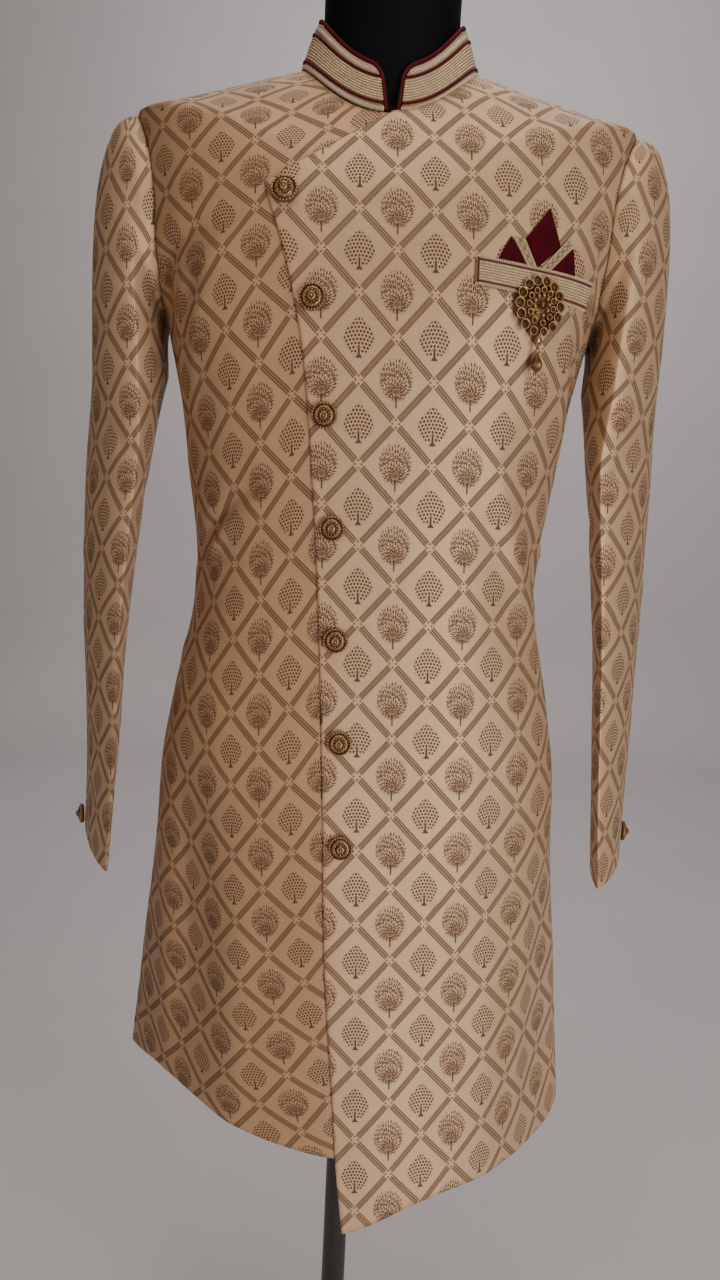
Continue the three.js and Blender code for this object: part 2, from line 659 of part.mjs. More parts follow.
const BUTTONS = [
  { x: -80.5, z: 1376 }, { x: -54, z: 1292 }, { x: -41, z: 1201 }, { x: -31, z: 1108 },
  { x: -24, z: 1011 }, { x: -17, z: 920 }, { x: -11.5, z: 826 },
];
BUTTONS.forEach(({ x, z }, index) => {
  const button = place(`button_${index + 1}`, buttonGeometry(BUTTON_RADIUS), GOLD);
  const { angle, side } = locate(x, z);
  faceAlong(button, onOverlap(x, z, REST_GAP), bodyNormal(angle, side));
});

const CUFF_BUTTON_TURN = degrees(-38);
const CUFF_BUTTON_HEIGHT = 786;
for (const [name, mirror] of [['cuff_button_left', 1], ['cuff_button_right', -1]]) {
  const at = sleevePoint(CUFF_BUTTON_TURN, CUFF_BUTTON_HEIGHT, 0);
  const next = sleevePoint(CUFF_BUTTON_TURN + 0.1, CUFF_BUTTON_HEIGHT, 0);
  const out = point(next.y - at.y, at.x - next.x, 0).normalize().multiplyScalar(-1);
  at.addScaledVector(out, REST_GAP);
  at.x *= mirror;
  out.x *= mirror;
  faceAlong(place(name, buttonGeometry(BUTTON_RADIUS * 0.92), GOLD), at, out);
}

// ---- brooch ----
// Built facing its own +Z with +Y up: a scalloped teardrop dome with a lug and a peg
// below it, on which the drop's ring hangs.
const BROOCH_HALF = 20;
const BROOCH_POINT = 5;       // how much longer the teardrop is below
const BROOCH_SCALLOPS = 14;
const BROOCH_PLATE = 1.6;
const LUG_RADIUS = 2.8;
const PEG_RADIUS = 1.6;
const RING_RADIUS = 2.7;
const RING_WIRE = 0.6;
const RING_PLAY = 0.5;        // between the drop's ring and the plate and head beside it
const PEG_Y = -28.2;

function broochOutline(turn, share, height) {
  const scallop = 1 - 0.06 * Math.cos(BROOCH_SCALLOPS * turn) * share;
  const tail = BROOCH_POINT * Math.max(0, -Math.sin(turn)) ** 4;
  const radius = (BROOCH_HALF * scallop + tail) * share;
  return point(radius * Math.cos(turn), radius * Math.sin(turn), height);
}

const BROOCH_DOME = [
  { share: 1, height: 0 }, { share: 1, height: BROOCH_PLATE }, { share: 0.72, height: 3.2 },
  { share: 0.56, height: 2.6 }, { share: 0.34, height: 5.2 }, { share: 0.12, height: 6.4 },
];
function discGeometry(radius, low, high, sides) {
  const disc = new THREE.CylinderGeometry(radius, radius, high - low, sides);
  disc.rotateX(Math.PI / 2);
  disc.translate(0, PEG_Y, (low + high) / 2);
  return disc;
}

function broochGeometry() {
  const turns = steps(4 * BROOCH_SCALLOPS).slice(0, -1).map((share) => share * Math.PI * 2);
  const dome = stackGeometry(BROOCH_DOME.map(({ share, height }) => (
    turns.map((turn) => broochOutline(turn, share, height)))));
  const ringTop = BROOCH_PLATE + 2 * (RING_PLAY + RING_WIRE);
  return joined([
    dome,
    discGeometry(LUG_RADIUS, 0, BROOCH_PLATE, 12),
    discGeometry(PEG_RADIUS, BROOCH_PLATE / 2, ringTop + 0.4, 10),
    discGeometry(RING_RADIUS, ringTop, ringTop + 0.8, 10),
  ]);
}

// The drop's own origin is on the peg's axis.
const BEAD_PROFILE = [[0, -28], [0.9, -27.4], [1, -25.4], [2.7, -23.4], [3.5, -20], [3, -16.4],
  [1.6, -13], [1.1, -10.2], [0, -9.6]];
const LINKS = [{ y: -5.3, radius: 1.6, turn: Math.PI / 2 }, { y: -8.6, radius: 1.5, turn: 0 }];
function dropGeometry() {
  const ring = new THREE.TorusGeometry(RING_RADIUS, RING_WIRE, 6, 12);
  const links = LINKS.map(({ y, radius, turn }) => (
    new THREE.TorusGeometry(radius, RING_WIRE - 0.05, 5, 8).rotateY(turn).translate(0, y, 0)));
  const outline = BEAD_PROFILE.map(([out, up]) => new THREE.Vector2(out, up));
  return joined([ring, ...links, new THREE.LatheGeometry(outline, 9)]);
}

// The brooch stands plumb on the chest, in front of the welt.
function placeBrooch() {
  const { angle, side } = locate(BROOCH_X, BROOCH_Z);
  const out = bodyNormal(angle, side);
  out.z = 0;
  out.normalize();
  const seat = REST_GAP + SEAM_GAP + WELT_WALL;
  const holder = new THREE.Group();
  const right = point(0, 0, 1).cross(out);
  const frame = new THREE.Matrix4().makeBasis(right, point(0, 0, 1), out);
  holder.quaternion.setFromRotationMatrix(frame);
  holder.position.copy(onOverlap(BROOCH_X, BROOCH_Z, 0)).addScaledVector(out, seat);
  suit.add(holder);
  place('brooch', broochGeometry(), GOLD, holder);
  const drop = place('brooch_drop', dropGeometry(), GOLD, holder);
  drop.position.set(0, PEG_Y, BROOCH_PLATE + RING_PLAY + RING_WIRE);
}
placeBrooch();

// ---- dress form and stand ----
// One row per ring of the form: how far it lies behind the body surface.
const FORM_INSETS = [
  { side: 800, inset: 14 }, { side: 900, inset: 11 }, { side: 1060, inset: 9 },
  { side: 1285, inset: 11 }, { side: 1420, inset: WALL + 7 }, { side: 1461, inset: WALL + 4 },
  { side: 1472, inset: WALL + 1.6 }, { side: 1484, inset: WALL + 1 }, { side: 1504, inset: WALL + 3 },
];
const FORM_HEIGHTS = [806, 860, 935, 1000, 1060, 1120, 1180, 1240, 1285, 1330, 1375, 1415, 1440,
  1455, 1465, 1474, 1483, 1493, 1502];
const NECK_ROWS = [
  { front: 1460, side: 1508, back: 1521, radius: 63.5 }, { front: 1492, side: 1528, back: 1538, radius: NECK_RADIUS },
  { front: 1560, side: 1562, back: 1564, radius: NECK_RADIUS },
  { front: NECK_TOP - 4, side: NECK_TOP - 4, back: NECK_TOP - 4, radius: NECK_RADIUS },
  { front: NECK_TOP, side: NECK_TOP, back: NECK_TOP, radius: NECK_RADIUS - 4 },
];
function formGeometry() {
  const turns = steps(28).slice(0, -1).map((share) => share * Math.PI * 2);
  const body = FORM_HEIGHTS.map((side) => turns.map((angle) => {
    const inset = readTable(FORM_INSETS, 'side', 'inset', side);
    return bodyPoint(angle, side).addScaledVector(bodyNormal(angle, side), -inset);
  }));
  const floor = body[0].map((at) => point(at.x * 0.9, at.y * 0.9, FORM_BOTTOM));
  const neck = NECK_ROWS.map(({ front, side, back, radius }) => turns.map((angle) => (
    ringPoint(angle, side, { front, back, half: radius, frontDepth: radius, backDepth: radius, square: 2 }))));
  return stackGeometry([floor, ...body, ...neck]);
}

function lathe(outline, sides) {
  const geometry = new THREE.LatheGeometry(outline.map(([out, up]) => new THREE.Vector2(out, up)), sides);
  geometry.rotateX(Math.PI / 2);
  return geometry;
}

const SOCKET_FLOOR = 8;
const socketRadius = POLE_RADIUS + SEAM_GAP;
const baseOutline = [
  [0, 0], [BASE_RADIUS - 3, 0], [BASE_RADIUS, 3], [BASE_RADIUS, BASE_HEIGHT - 6],
  [BASE_RADIUS - 8, BASE_HEIGHT], [socketRadius + 12, BASE_HEIGHT + 3],
  [socketRadius + 6, SOCKET_HEIGHT], [socketRadius, SOCKET_HEIGHT], [socketRadius, SOCKET_FLOOR],
  [0, SOCKET_FLOOR],
];
const poleFoot = SOCKET_FLOOR + SEAM_GAP;
const poleTop = FORM_BOTTOM - SEAM_GAP;

place('form_torso', formGeometry(), FORM_BLACK);
place('stand_pole', lathe([[0, poleFoot], [POLE_RADIUS, poleFoot], [POLE_RADIUS, poleTop],
  [0, poleTop]], 20), STEEL_BLACK);
place('stand_base', lathe(baseOutline, 30), STEEL_BLACK);

export default suit;
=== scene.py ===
# %% [markdown]
# # An asymmetric brocade coat on a dress form
# The solids of this part are already made and packed. This lesson dresses them: each
# panel of cloth becomes a thin soft shell on the same body surface, and every other
# piece gets its small detail and its finish. All sizes are millimetres until a mesh is
# made, because a maker measures cloth in millimetres; Blender itself works in metres.

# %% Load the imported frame
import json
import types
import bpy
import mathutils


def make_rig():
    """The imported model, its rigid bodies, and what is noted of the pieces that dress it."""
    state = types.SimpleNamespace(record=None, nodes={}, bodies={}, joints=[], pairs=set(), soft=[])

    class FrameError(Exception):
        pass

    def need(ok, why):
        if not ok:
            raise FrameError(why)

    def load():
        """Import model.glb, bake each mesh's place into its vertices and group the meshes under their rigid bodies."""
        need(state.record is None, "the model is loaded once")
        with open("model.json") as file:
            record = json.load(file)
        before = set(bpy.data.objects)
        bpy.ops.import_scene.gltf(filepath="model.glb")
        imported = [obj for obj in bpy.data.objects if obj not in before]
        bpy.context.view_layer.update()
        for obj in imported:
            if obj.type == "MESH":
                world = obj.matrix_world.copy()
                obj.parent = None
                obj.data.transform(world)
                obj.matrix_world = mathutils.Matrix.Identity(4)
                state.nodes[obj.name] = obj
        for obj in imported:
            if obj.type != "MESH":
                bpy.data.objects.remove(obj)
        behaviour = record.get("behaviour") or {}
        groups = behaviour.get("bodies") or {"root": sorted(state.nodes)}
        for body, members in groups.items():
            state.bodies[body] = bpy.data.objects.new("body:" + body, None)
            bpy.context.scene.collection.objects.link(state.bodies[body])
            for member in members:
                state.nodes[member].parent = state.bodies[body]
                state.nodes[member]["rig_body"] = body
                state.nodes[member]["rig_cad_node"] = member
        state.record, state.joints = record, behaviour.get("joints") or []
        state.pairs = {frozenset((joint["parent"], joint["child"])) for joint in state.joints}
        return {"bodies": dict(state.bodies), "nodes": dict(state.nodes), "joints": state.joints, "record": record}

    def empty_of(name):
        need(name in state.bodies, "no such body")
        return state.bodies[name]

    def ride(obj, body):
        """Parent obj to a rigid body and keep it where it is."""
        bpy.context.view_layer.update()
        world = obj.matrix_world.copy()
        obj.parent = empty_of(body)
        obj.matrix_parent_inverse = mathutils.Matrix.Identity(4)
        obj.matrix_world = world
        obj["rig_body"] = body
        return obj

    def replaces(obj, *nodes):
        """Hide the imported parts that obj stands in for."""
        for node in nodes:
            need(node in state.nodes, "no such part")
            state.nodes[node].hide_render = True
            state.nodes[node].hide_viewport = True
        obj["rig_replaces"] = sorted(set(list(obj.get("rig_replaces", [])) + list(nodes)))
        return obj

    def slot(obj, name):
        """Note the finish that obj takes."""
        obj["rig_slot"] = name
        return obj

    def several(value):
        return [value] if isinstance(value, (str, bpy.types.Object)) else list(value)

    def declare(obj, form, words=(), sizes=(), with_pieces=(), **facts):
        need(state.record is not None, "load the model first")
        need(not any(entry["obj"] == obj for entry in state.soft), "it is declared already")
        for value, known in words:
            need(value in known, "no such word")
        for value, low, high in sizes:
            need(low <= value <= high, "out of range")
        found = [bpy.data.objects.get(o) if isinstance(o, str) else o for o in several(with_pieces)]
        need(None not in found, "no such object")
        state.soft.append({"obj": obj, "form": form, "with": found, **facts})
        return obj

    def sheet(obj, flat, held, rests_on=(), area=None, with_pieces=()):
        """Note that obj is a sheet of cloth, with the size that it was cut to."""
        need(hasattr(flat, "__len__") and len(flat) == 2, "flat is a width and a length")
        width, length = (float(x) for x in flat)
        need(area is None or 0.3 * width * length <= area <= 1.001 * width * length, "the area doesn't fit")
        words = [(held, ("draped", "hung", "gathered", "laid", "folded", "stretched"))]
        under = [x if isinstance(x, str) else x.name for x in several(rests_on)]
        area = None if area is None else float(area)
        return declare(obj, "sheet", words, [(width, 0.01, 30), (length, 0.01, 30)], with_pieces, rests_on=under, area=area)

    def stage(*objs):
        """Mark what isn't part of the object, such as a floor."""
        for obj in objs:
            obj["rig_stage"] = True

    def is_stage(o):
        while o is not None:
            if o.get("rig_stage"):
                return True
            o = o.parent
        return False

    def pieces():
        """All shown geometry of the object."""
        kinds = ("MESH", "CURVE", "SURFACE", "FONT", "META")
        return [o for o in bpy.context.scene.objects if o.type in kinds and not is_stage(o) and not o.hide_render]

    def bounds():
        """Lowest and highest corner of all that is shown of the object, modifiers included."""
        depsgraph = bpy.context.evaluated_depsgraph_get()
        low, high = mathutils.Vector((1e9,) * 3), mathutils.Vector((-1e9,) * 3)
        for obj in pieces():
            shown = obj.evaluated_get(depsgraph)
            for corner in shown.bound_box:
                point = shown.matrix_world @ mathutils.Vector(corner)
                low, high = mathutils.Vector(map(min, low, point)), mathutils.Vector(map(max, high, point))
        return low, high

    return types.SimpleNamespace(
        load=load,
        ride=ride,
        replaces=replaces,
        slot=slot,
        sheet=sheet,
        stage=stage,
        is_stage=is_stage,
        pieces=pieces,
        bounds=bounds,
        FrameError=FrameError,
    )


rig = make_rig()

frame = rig.load()

import json
import math
import bpy
import bmesh
import numpy as np
from mathutils import Matrix, Vector

CAD_BOX = [list(corner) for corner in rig.bounds()]
BODY = "coat_and_form"
MM = 0.001
print("the solids fill", CAD_BOX)

# %% [markdown]
# ## Writing a finish as a formula
# A woven pattern is easier to read as a formula than as a web of nodes. `Wire` holds one
# socket and lets Python's own operators add the Math nodes. `Finish` holds one material,
# and its `node` method makes any other node.

# %% Sockets that can be calculated with
def sum_of(operation, turned=False):
    """An operator that adds one Math node; a turned one puts the other value first."""
    def add(self, *others):
        return self.finish.math(operation, *((*others, self) if turned else (self, *others)))
    return add


class Wire:
    """One socket of a finish."""

    def __init__(self, finish, socket):
        self.finish = finish
        self.socket = socket

    __add__, __radd__ = sum_of("ADD"), sum_of("ADD", True)
    __sub__, __rsub__ = sum_of("SUBTRACT"), sum_of("SUBTRACT", True)
    __mul__, __rmul__ = sum_of("MULTIPLY"), sum_of("MULTIPLY", True)
    __truediv__, __rtruediv__ = sum_of("DIVIDE"), sum_of("DIVIDE", True)
    __abs__, fraction, floor = sum_of("ABSOLUTE"), sum_of("FRACT"), sum_of("FLOOR")
    sine, cosine, root = sum_of("SINE"), sum_of("COSINE"), sum_of("SQRT")


class Finish:
    """One material and the nodes that make it."""

    def __init__(self, name):
        self.material = bpy.data.materials.new(name)
        self.material.use_nodes = True
        self.tree = self.material.node_tree
        self.tree.nodes.clear()

    def node(self, kind, settings=None, sockets=None, output=0):
        made = self.tree.nodes.new("ShaderNode" + kind)
        for name, value in (settings or {}).items():
            setattr(made, name, value)
        for name, value in (sockets or {}).items():
            if isinstance(value, Wire):
                self.tree.links.new(value.socket, made.inputs[name])
            else:
                made.inputs[name].default_value = value
        return Wire(self, made.outputs[output])

    def math(self, operation, *values):
        return self.node("Math", {"operation": operation}, dict(enumerate(values)))

    def less(self, value, edge, soft):
        """1 where the value is under the edge, 0 above, with a soft change between."""
        return self.node("MapRange", {"interpolation_type": "SMOOTHSTEP"}, {
            "Value": value, "From Min": edge - soft, "From Max": edge + soft,
            "To Min": 1.0, "To Max": 0.0})

    def blend(self, share, first, second):
        """A colour between two colours."""
        def colour(value):
            return value if isinstance(value, Wire) else (*value, 1)
        return self.node("Mix", {"data_type": "RGBA"}, {
            "Factor": share, 6: colour(first), 7: colour(second)}, output=2)

    def noise(self, where, scale, detail=2.0, rough=0.5):
        return self.node("TexNoise", None, {
            "Vector": where, "Scale": scale, "Detail": detail, "Roughness": rough})

    def place(self):
        """Where a point of the piece lies, in metres."""
        return self.node("TexCoord", output="Object")

    def split(self, vector):
        made = self.node("SeparateXYZ", None, {"Vector": vector}).socket.node
        return [Wire(self, made.outputs[axis]) for axis in range(3)]

    def join(self, x, y, z=0.0):
        return self.node("CombineXYZ", None, {"X": x, "Y": y, "Z": z})

    def bump(self, height, depth, strength=1.0):
        return self.node("Bump", None, {"Height": height, "Distance": depth, "Strength": strength})

    def surface(self, **sockets):
        named = {name.replace("_", " "): value for name, value in sockets.items()}
        shader = self.node("BsdfPrincipled", None, named)
        output = self.tree.nodes.new("ShaderNodeOutputMaterial")
        self.tree.links.new(shader.socket, output.inputs["Surface"])
        return self.material

# %% [markdown]
# ## The body surface
# A tailor's form has no simple shape, but each level of it is close to a squared oval.
# The table gives one oval a row, and smooth curves join the rows. All the cloth, and
# what lies on it, is placed by an angle round the body and a height at its side.

# %% The rings of the body, hem to neck
RING_COLUMNS = ["side", "front", "back", "half", "front_depth", "back_depth", "square",
                "right_seam", "left_seam"]
RINGS = np.array([
    [420, 420, 420, 239, 160, 142, 2.3, 1.35, 1.6], [560, 560, 560, 226, 143, 132, 2.35, 1.4, 1.65],
    [670, 670, 670, 214, 132, 124, 2.4, 1.65, 1.9], [790, 790, 790, 201, 126, 120, 2.45, 2.1, 2.2],
    [870, 870, 870, 195, 122, 116, 2.5, 2.4, 2.4], [935, 935, 935, 184, 118, 106, 2.5, 2.5, 2.5],
    [1060, 1060, 1060, 163, 117, 88, 2.5, 2.5, 2.5], [1160, 1160, 1160, 173, 122, 94, 2.6, 2.6, 2.6],
    [1285, 1285, 1285, 193, 130, 107, 2.9, 2.9, 2.9], [1330, 1322, 1330, 203, 126, 110, 2.8, 2.8, 2.8],
    [1375, 1352, 1374, 213, 119, 109, 2.6, 2.6, 2.6], [1420, 1380, 1416, 220, 111, 104, 2.4, 2.4, 2.4],
    [1461, 1405, 1450, 223.5, 101, 97, 2.2, 2.2, 2.2], [1472, 1418, 1474, 187, 95, 90, 2.1, 2.1, 2.1],
    [1482, 1430, 1492, 153, 89, 83, 2.05, 2.05, 2.05], [1493, 1441, 1507, 116, 83, 77, 2, 2, 2],
    [1504, 1451, 1520, 79, 75, 70, 2, 2, 2]], float)


class SmoothTable:
    """Columns of a table read between its rows, without overshoot."""

    def __init__(self, rows):
        self.rows = np.asarray(rows, float)
        self.at = self.rows[:, 0]
        self.slopes = np.array([self.slopes_of(column) for column in self.rows.T]).T

    def slopes_of(self, values):
        steps = np.diff(self.at)
        rises = np.diff(values) / steps
        slopes = np.empty(len(values))
        slopes[0], slopes[-1] = rises[0], rises[-1]
        for row in range(1, len(values) - 1):
            before, after = rises[row - 1], rises[row]
            same_way = before * after > 0
            low = 2 * steps[row] + steps[row - 1]
            high = steps[row] + 2 * steps[row - 1]
            slopes[row] = (low + high) / (low / before + high / after) if same_way else 0
        return slopes

    def read(self, column, at):
        at = np.clip(at, self.at[0], self.at[-1])
        row = np.clip(np.searchsorted(self.at, at, side="right") - 1, 0, len(self.at) - 2)
        step = self.at[row + 1] - self.at[row]
        share = (at - self.at[row]) / step
        low, high = self.rows[row, column], self.rows[row + 1, column]
        low_slope, high_slope = self.slopes[row, column], self.slopes[row + 1, column]
        rest = 1 - share
        return (low * (1 + 2 * share) * rest ** 2 + low_slope * step * share * rest ** 2
                + high * share ** 2 * (3 - 2 * share) + high_slope * step * share ** 2 * (share - 1))


BODY_TABLE = SmoothTable(RINGS)
LOWEST_RING, WAIST, NECK_SIDE = 420, 1060, 1504
SHOULDER_EASE = 3.2          # how late a ring climbs from the front to the shoulder
NECK_EASE_FROM = 1472        # above this level it climbs sooner, up to the neck


def ring_point(angle, side, front, back, half, front_depth, back_depth, square, seam,
               ease=SHOULDER_EASE):
    across, along = np.abs(np.sin(angle)), np.abs(np.cos(angle))
    faces_front = np.cos(angle) >= 0
    power = np.where(faces_front, square + (seam - square) * across ** 2, square)
    depth = np.where(faces_front, front_depth, back_depth)
    radius = ((across / half) ** power + (along / depth) ** power) ** (-1 / power)
    level = np.where(faces_front, front, back)
    rise = level + (side - level) * across ** ease
    return np.stack([radius * np.sin(angle), -radius * np.cos(angle), rise], -1)


def body_point(angle, side):
    angle, side = np.broadcast_arrays(np.asarray(angle, float), np.asarray(side, float))
    read = {name: BODY_TABLE.read(column, side) for column, name in enumerate(RING_COLUMNS)}
    seam = np.where(np.sin(angle) > 0, read["left_seam"], read["right_seam"])
    return ring_point(angle, side, read["front"], read["back"], read["half"],
                      read["front_depth"], read["back_depth"], read["square"], seam,
                      SHOULDER_EASE - np.clip((side - NECK_EASE_FROM) / (NECK_SIDE - NECK_EASE_FROM), 0, 1))


def unit(vectors):
    return vectors / np.linalg.norm(vectors, axis=-1, keepdims=True)


def body_normal(angle, side, up_step=0.5, turn_step=0.004):
    up = body_point(angle, side + up_step) - body_point(angle, side - up_step)
    turn = body_point(angle + turn_step, side) - body_point(angle - turn_step, side)
    return unit(np.cross(turn, up))


def along_path(path):
    """Distance of each point of a path from its start."""
    return np.concatenate([[0], np.cumsum(np.linalg.norm(np.diff(path, axis=0), axis=1))])


UNDERARM, SHOULDER_TIP = 1285, 1461
chest = body_point(np.linspace(0, 2 * np.pi, 181), UNDERARM)
print("chest girth of the coat", round(along_path(chest)[-1]), "mm")

# %% [markdown]
# ## Folds
# Real cloth never hangs evenly. The large folds are the ones that the solids also have.
# The small creases are laid where the cloth is pulled: beside the armholes, at
# the waist and down the skirt. Each is a soft ridge or trough along a short path.

# %% Large folds: angle and height at both ends, half width, depth
FOLDS = [
    (-18, 960, 8, 250, 60, 7), (-62, 890, -58, 600, 24, -7), (-42, 800, -38, 500, 24, 4),
    (-47, 1138, -68, 1080, 13, -5), (44, 1168, 72, 1000, 15, 5), (64, 1110, 88, 1010, 13, -4),
    (76, 800, 74, 520, 26, -5), (52, 700, 48, 440, 26, 4), (-58, 1350, -63, 1275, 13, -6),
    (65, 1284, 71, 1225, 13, -5), (128, 760, 130, 470, 26, 6), (152, 820, 150, 470, 24, -6),
    (178, 740, 181, 470, 26, 5), (206, 830, 208, 470, 24, -6), (233, 760, 231, 470, 26, 6),
    (150, 1110, 118, 1075, 14, -4), (212, 1105, 244, 1070, 14, -4)]
FOLD_RADIUS, FOLD_END = 160, 30   # the body's usual radius, and how far a fold runs on past its end


def fold_depth(angle, side):
    depth = np.zeros(np.broadcast(angle, side).shape)
    for start, top, end, bottom, width, deep in FOLDS:
        share = (top - side) / (top - bottom)
        middle = np.radians(start + (end - start) * np.clip(share, 0, 1))
        turn = np.arctan2(np.sin(angle - middle), np.cos(angle - middle))
        across = turn * FOLD_RADIUS / width
        past = np.maximum(0, np.maximum(share - 1, -share)) * (top - bottom)
        depth += deep * np.exp(-across ** 2 - (past / FOLD_END) ** 2) \
            * np.sin(np.pi * np.clip(share * 0.8 + 0.1, 0.1, 0.9))
    return depth


# %% Small creases: points (angle, height) along each, half width, depth
CREASES = [
    ([(-67, 1345), (-71, 1290), (-75, 1240), (-79, 1185)], 12, -6.5),
    ([(-54, 1300), (-59, 1255), (-64, 1200)], 8, 2.6),
    ([(72, 1325), (75, 1275), (78, 1225), (81, 1180)], 11, -6.0),
    ([(58, 1300), (64, 1250), (68, 1205)], 8, 2.4),
    ([(-77, 1276), (-71, 1322), (-61, 1350), (-49, 1364)], 8, -5.4),
    ([(-63, 1304), (-55, 1332), (-43, 1346)], 8, 2.4),
    ([(-48, 1132), (-56, 1102), (-62, 1078), (-68, 1062)], 5, 4.4),
    ([(-44, 1142), (-52, 1120), (-60, 1096)], 6, -3.0), ([(-66, 1104), (-74, 1062), (-82, 1040)], 7, 1.8),
    ([(-70, 1010), (-78, 985), (-86, 972)], 7, 1.4), ([(-60, 1040), (-70, 1016), (-80, 1004)], 8, -1.2),
    ([(60, 1150), (66, 1122), (74, 1098), (84, 1080)], 6, 3.8),
    ([(64, 1134), (72, 1106), (82, 1090)], 6, -3.2), ([(68, 1070), (77, 1040), (86, 1020)], 7, 1.8),
    ([(70, 1040), (80, 1012), (88, 1000)], 7, -1.4), ([(-56, 1352), (-61, 1318), (-64, 1290)], 6, 1.6),
    ([(-66, 1262), (-70, 1215), (-73, 1170)], 8, 1.4), ([(-74, 1250), (-77, 1195)], 7, -1.4),
    ([(60, 1330), (64, 1300), (68, 1262)], 7, 1.5), ([(72, 1270), (75, 1225), (77, 1180)], 7, 1.6),
    ([(29, 773), (31, 769), (33.5, 770)], 3.2, -1.8), ([(28, 777), (31, 774), (34, 775)], 4, 1.2),
    ([(-12, 1402), (2, 1392), (16, 1398)], 10, -0.9), ([(24, 1410), (30, 1380), (33, 1350)], 12, -0.8),
    ([(-30, 930), (-34, 860), (-36, 780)], 16, 1.2), ([(-26, 700), (-27, 620), (-26, 550)], 16, 1.4),
    ([(-74, 800), (-72, 700), (-71, 600), (-70, 540)], 9, 2.0),
    ([(-66, 860), (-65, 780), (-64, 690), (-63, 600)], 8, -2.0),
    ([(12, 690), (13, 600), (12, 500)], 18, 1.4), ([(30, 650), (31, 560), (30, 480)], 15, -1.4),
    ([(64, 820), (65, 720), (64, 600), (63, 500)], 12, 1.6),
    ([(84, 760), (83, 660), (82, 560)], 10, 1.8), ([(40, 900), (43, 850), (45, 800)], 13, 1.0),
    ([(-20, 1240), (-30, 1215), (-40, 1200)], 14, -1.0), ([(-22, 1010), (-34, 1000), (-46, 985)], 13, 0.9),
    ([(20, 1060), (34, 1048), (48, 1030)], 13, 1.0), ([(14, 1010), (30, 1000), (44, 980)], 14, -0.9),
    ([(160, 1380), (182, 1372), (204, 1380)], 16, -1.4), ([(166, 1345), (182, 1338), (198, 1346)], 16, 1.2),
    ([(120, 1330), (132, 1300), (140, 1270)], 13, 1.6), ([(240, 1330), (228, 1300), (220, 1270)], 13, 1.6),
    ([(140, 1120), (158, 1098), (176, 1090)], 11, 1.8), ([(218, 1112), (202, 1092), (186, 1086)], 11, -1.6),
    ([(136, 1060), (154, 1044), (170, 1040)], 12, -1.4), ([(226, 1066), (208, 1050), (192, 1044)], 12, 1.4),
    ([(110, 1000), (120, 960), (126, 900)], 13, 1.5), ([(250, 1004), (240, 960), (234, 905)], 13, 1.5)]


def crease_shape(points, creases, spine_at, spots=None):
    """Depth of the listed creases at these points. Each fades to its ends and its sides. Its
    spine is followed in so many spots, or else in eight for each part of its path."""
    depth = np.zeros(points.shape[:-1])
    for path, width, deep in creases:
        knots = np.arange(len(path))
        share = np.linspace(0, knots[-1], spots or 8 * knots[-1] + 1)
        spine = spine_at(*[np.interp(share, knots, column) for column in
                           (np.radians([spot[0] for spot in path]), [spot[1] for spot in path])])
        near = np.full(depth.shape, np.inf)
        fade = np.zeros(depth.shape)
        for spot, along in zip(spine, share / share[-1]):
            distance = ((points - spot) ** 2).sum(-1)
            closer = distance < near
            near = np.where(closer, distance, near)
            fade = np.where(closer, np.sin(np.pi * (0.12 + 0.76 * along)), fade)
        depth += deep * fade * np.exp(-near * 0.8 / width ** 2)
    return depth


def crease_depth(points):
    """Depth of the small creases, at points of the plain body surface."""
    return crease_shape(points, CREASES, body_point)


# Slow unevenness of a hand-made thing: a few waves of unlike length.
UNEVEN = [(0.021, 0.013, 0.4), (-0.013, 0.031, 2.1), (0.043, -0.009, 4.4), (0.017, 0.052, 1.3)]


def uneven(points, depth=0.5):
    x, y, z = np.moveaxis(points, -1, 0)
    return depth * sum(np.sin((x + 0.8 * y) * across + z * up + start)
                       for across, up, start in UNEVEN) / len(UNEVEN)


def cloth_point(angle, side, lift=0.0):
    flat = body_point(angle, side)
    out = lift + fold_depth(angle, side) + crease_depth(flat) + uneven(flat)
    return flat + body_normal(angle, side) * np.asarray(out)[..., None]


print(len(FOLDS), "folds and", len(CREASES), "creases")

# %% [markdown]
# ## Outlines of the panels
# The overlap is the wearer's left front. Its free edge leaves the neck, crosses the
# chest to a corner beside the top button, and runs down to a long pointed hem. The hem
# is lowest there and climbs to the side seams. The underlap and the back follow it.

# %% Edges and hems
FLAP_EDGE = SmoothTable([
    [455, 7], [530, -3], [578, -7.5], [716, -21], [866, -29], [1010, -38], [1147, -49],
    [1254, -61], [1316, -75], [1383, -97.5]])
FLAP_CORNER = (1383, -97.5)
NECK_NOTCH = (1450, 3.5)
UNDERLAP_EDGE = SmoothTable([[424, 62], [1300, 52], [1400, 34], [1446, 16]])
OVERLAP_HEM = SmoothTable([[0, 460], [2.5, 461], [27, 485], [40, 493], [54, 497], [70, 499],
                           [82, 503], [90, 511]])
UNDERLAP_HEM = SmoothTable([[-90, 547], [-70, 555], [-55, 553], [-38, 546], [-24, 539],
                            [0, 531], [25, 528]])
BACK_HEM = SmoothTable([[90, 511], [130, 523], [180, 534], [230, 541], [270, 547]])
WALL, SEAM_GAP, REST_GAP, LAP_CLEARANCE = 2.0, 0.3, 0.6, 0.3
SHELL = WALL * 0.8                    # the soft shell is a little thinner than its solid
ARMHOLE_BULGE, SKIRT_LEVEL = 17, 700
FRONT_FROM, FRONT_TO = -1.48, 1.05    # angles between which every front edge lies


def flap_edge_x(height):
    share = np.clip((height - FLAP_CORNER[0]) / (NECK_NOTCH[0] - FLAP_CORNER[0]), 0, 1)
    slanted = FLAP_CORNER[1] + (NECK_NOTCH[1] - FLAP_CORNER[1]) * share
    return np.where(height <= FLAP_CORNER[0], FLAP_EDGE.read(1, height), slanted)


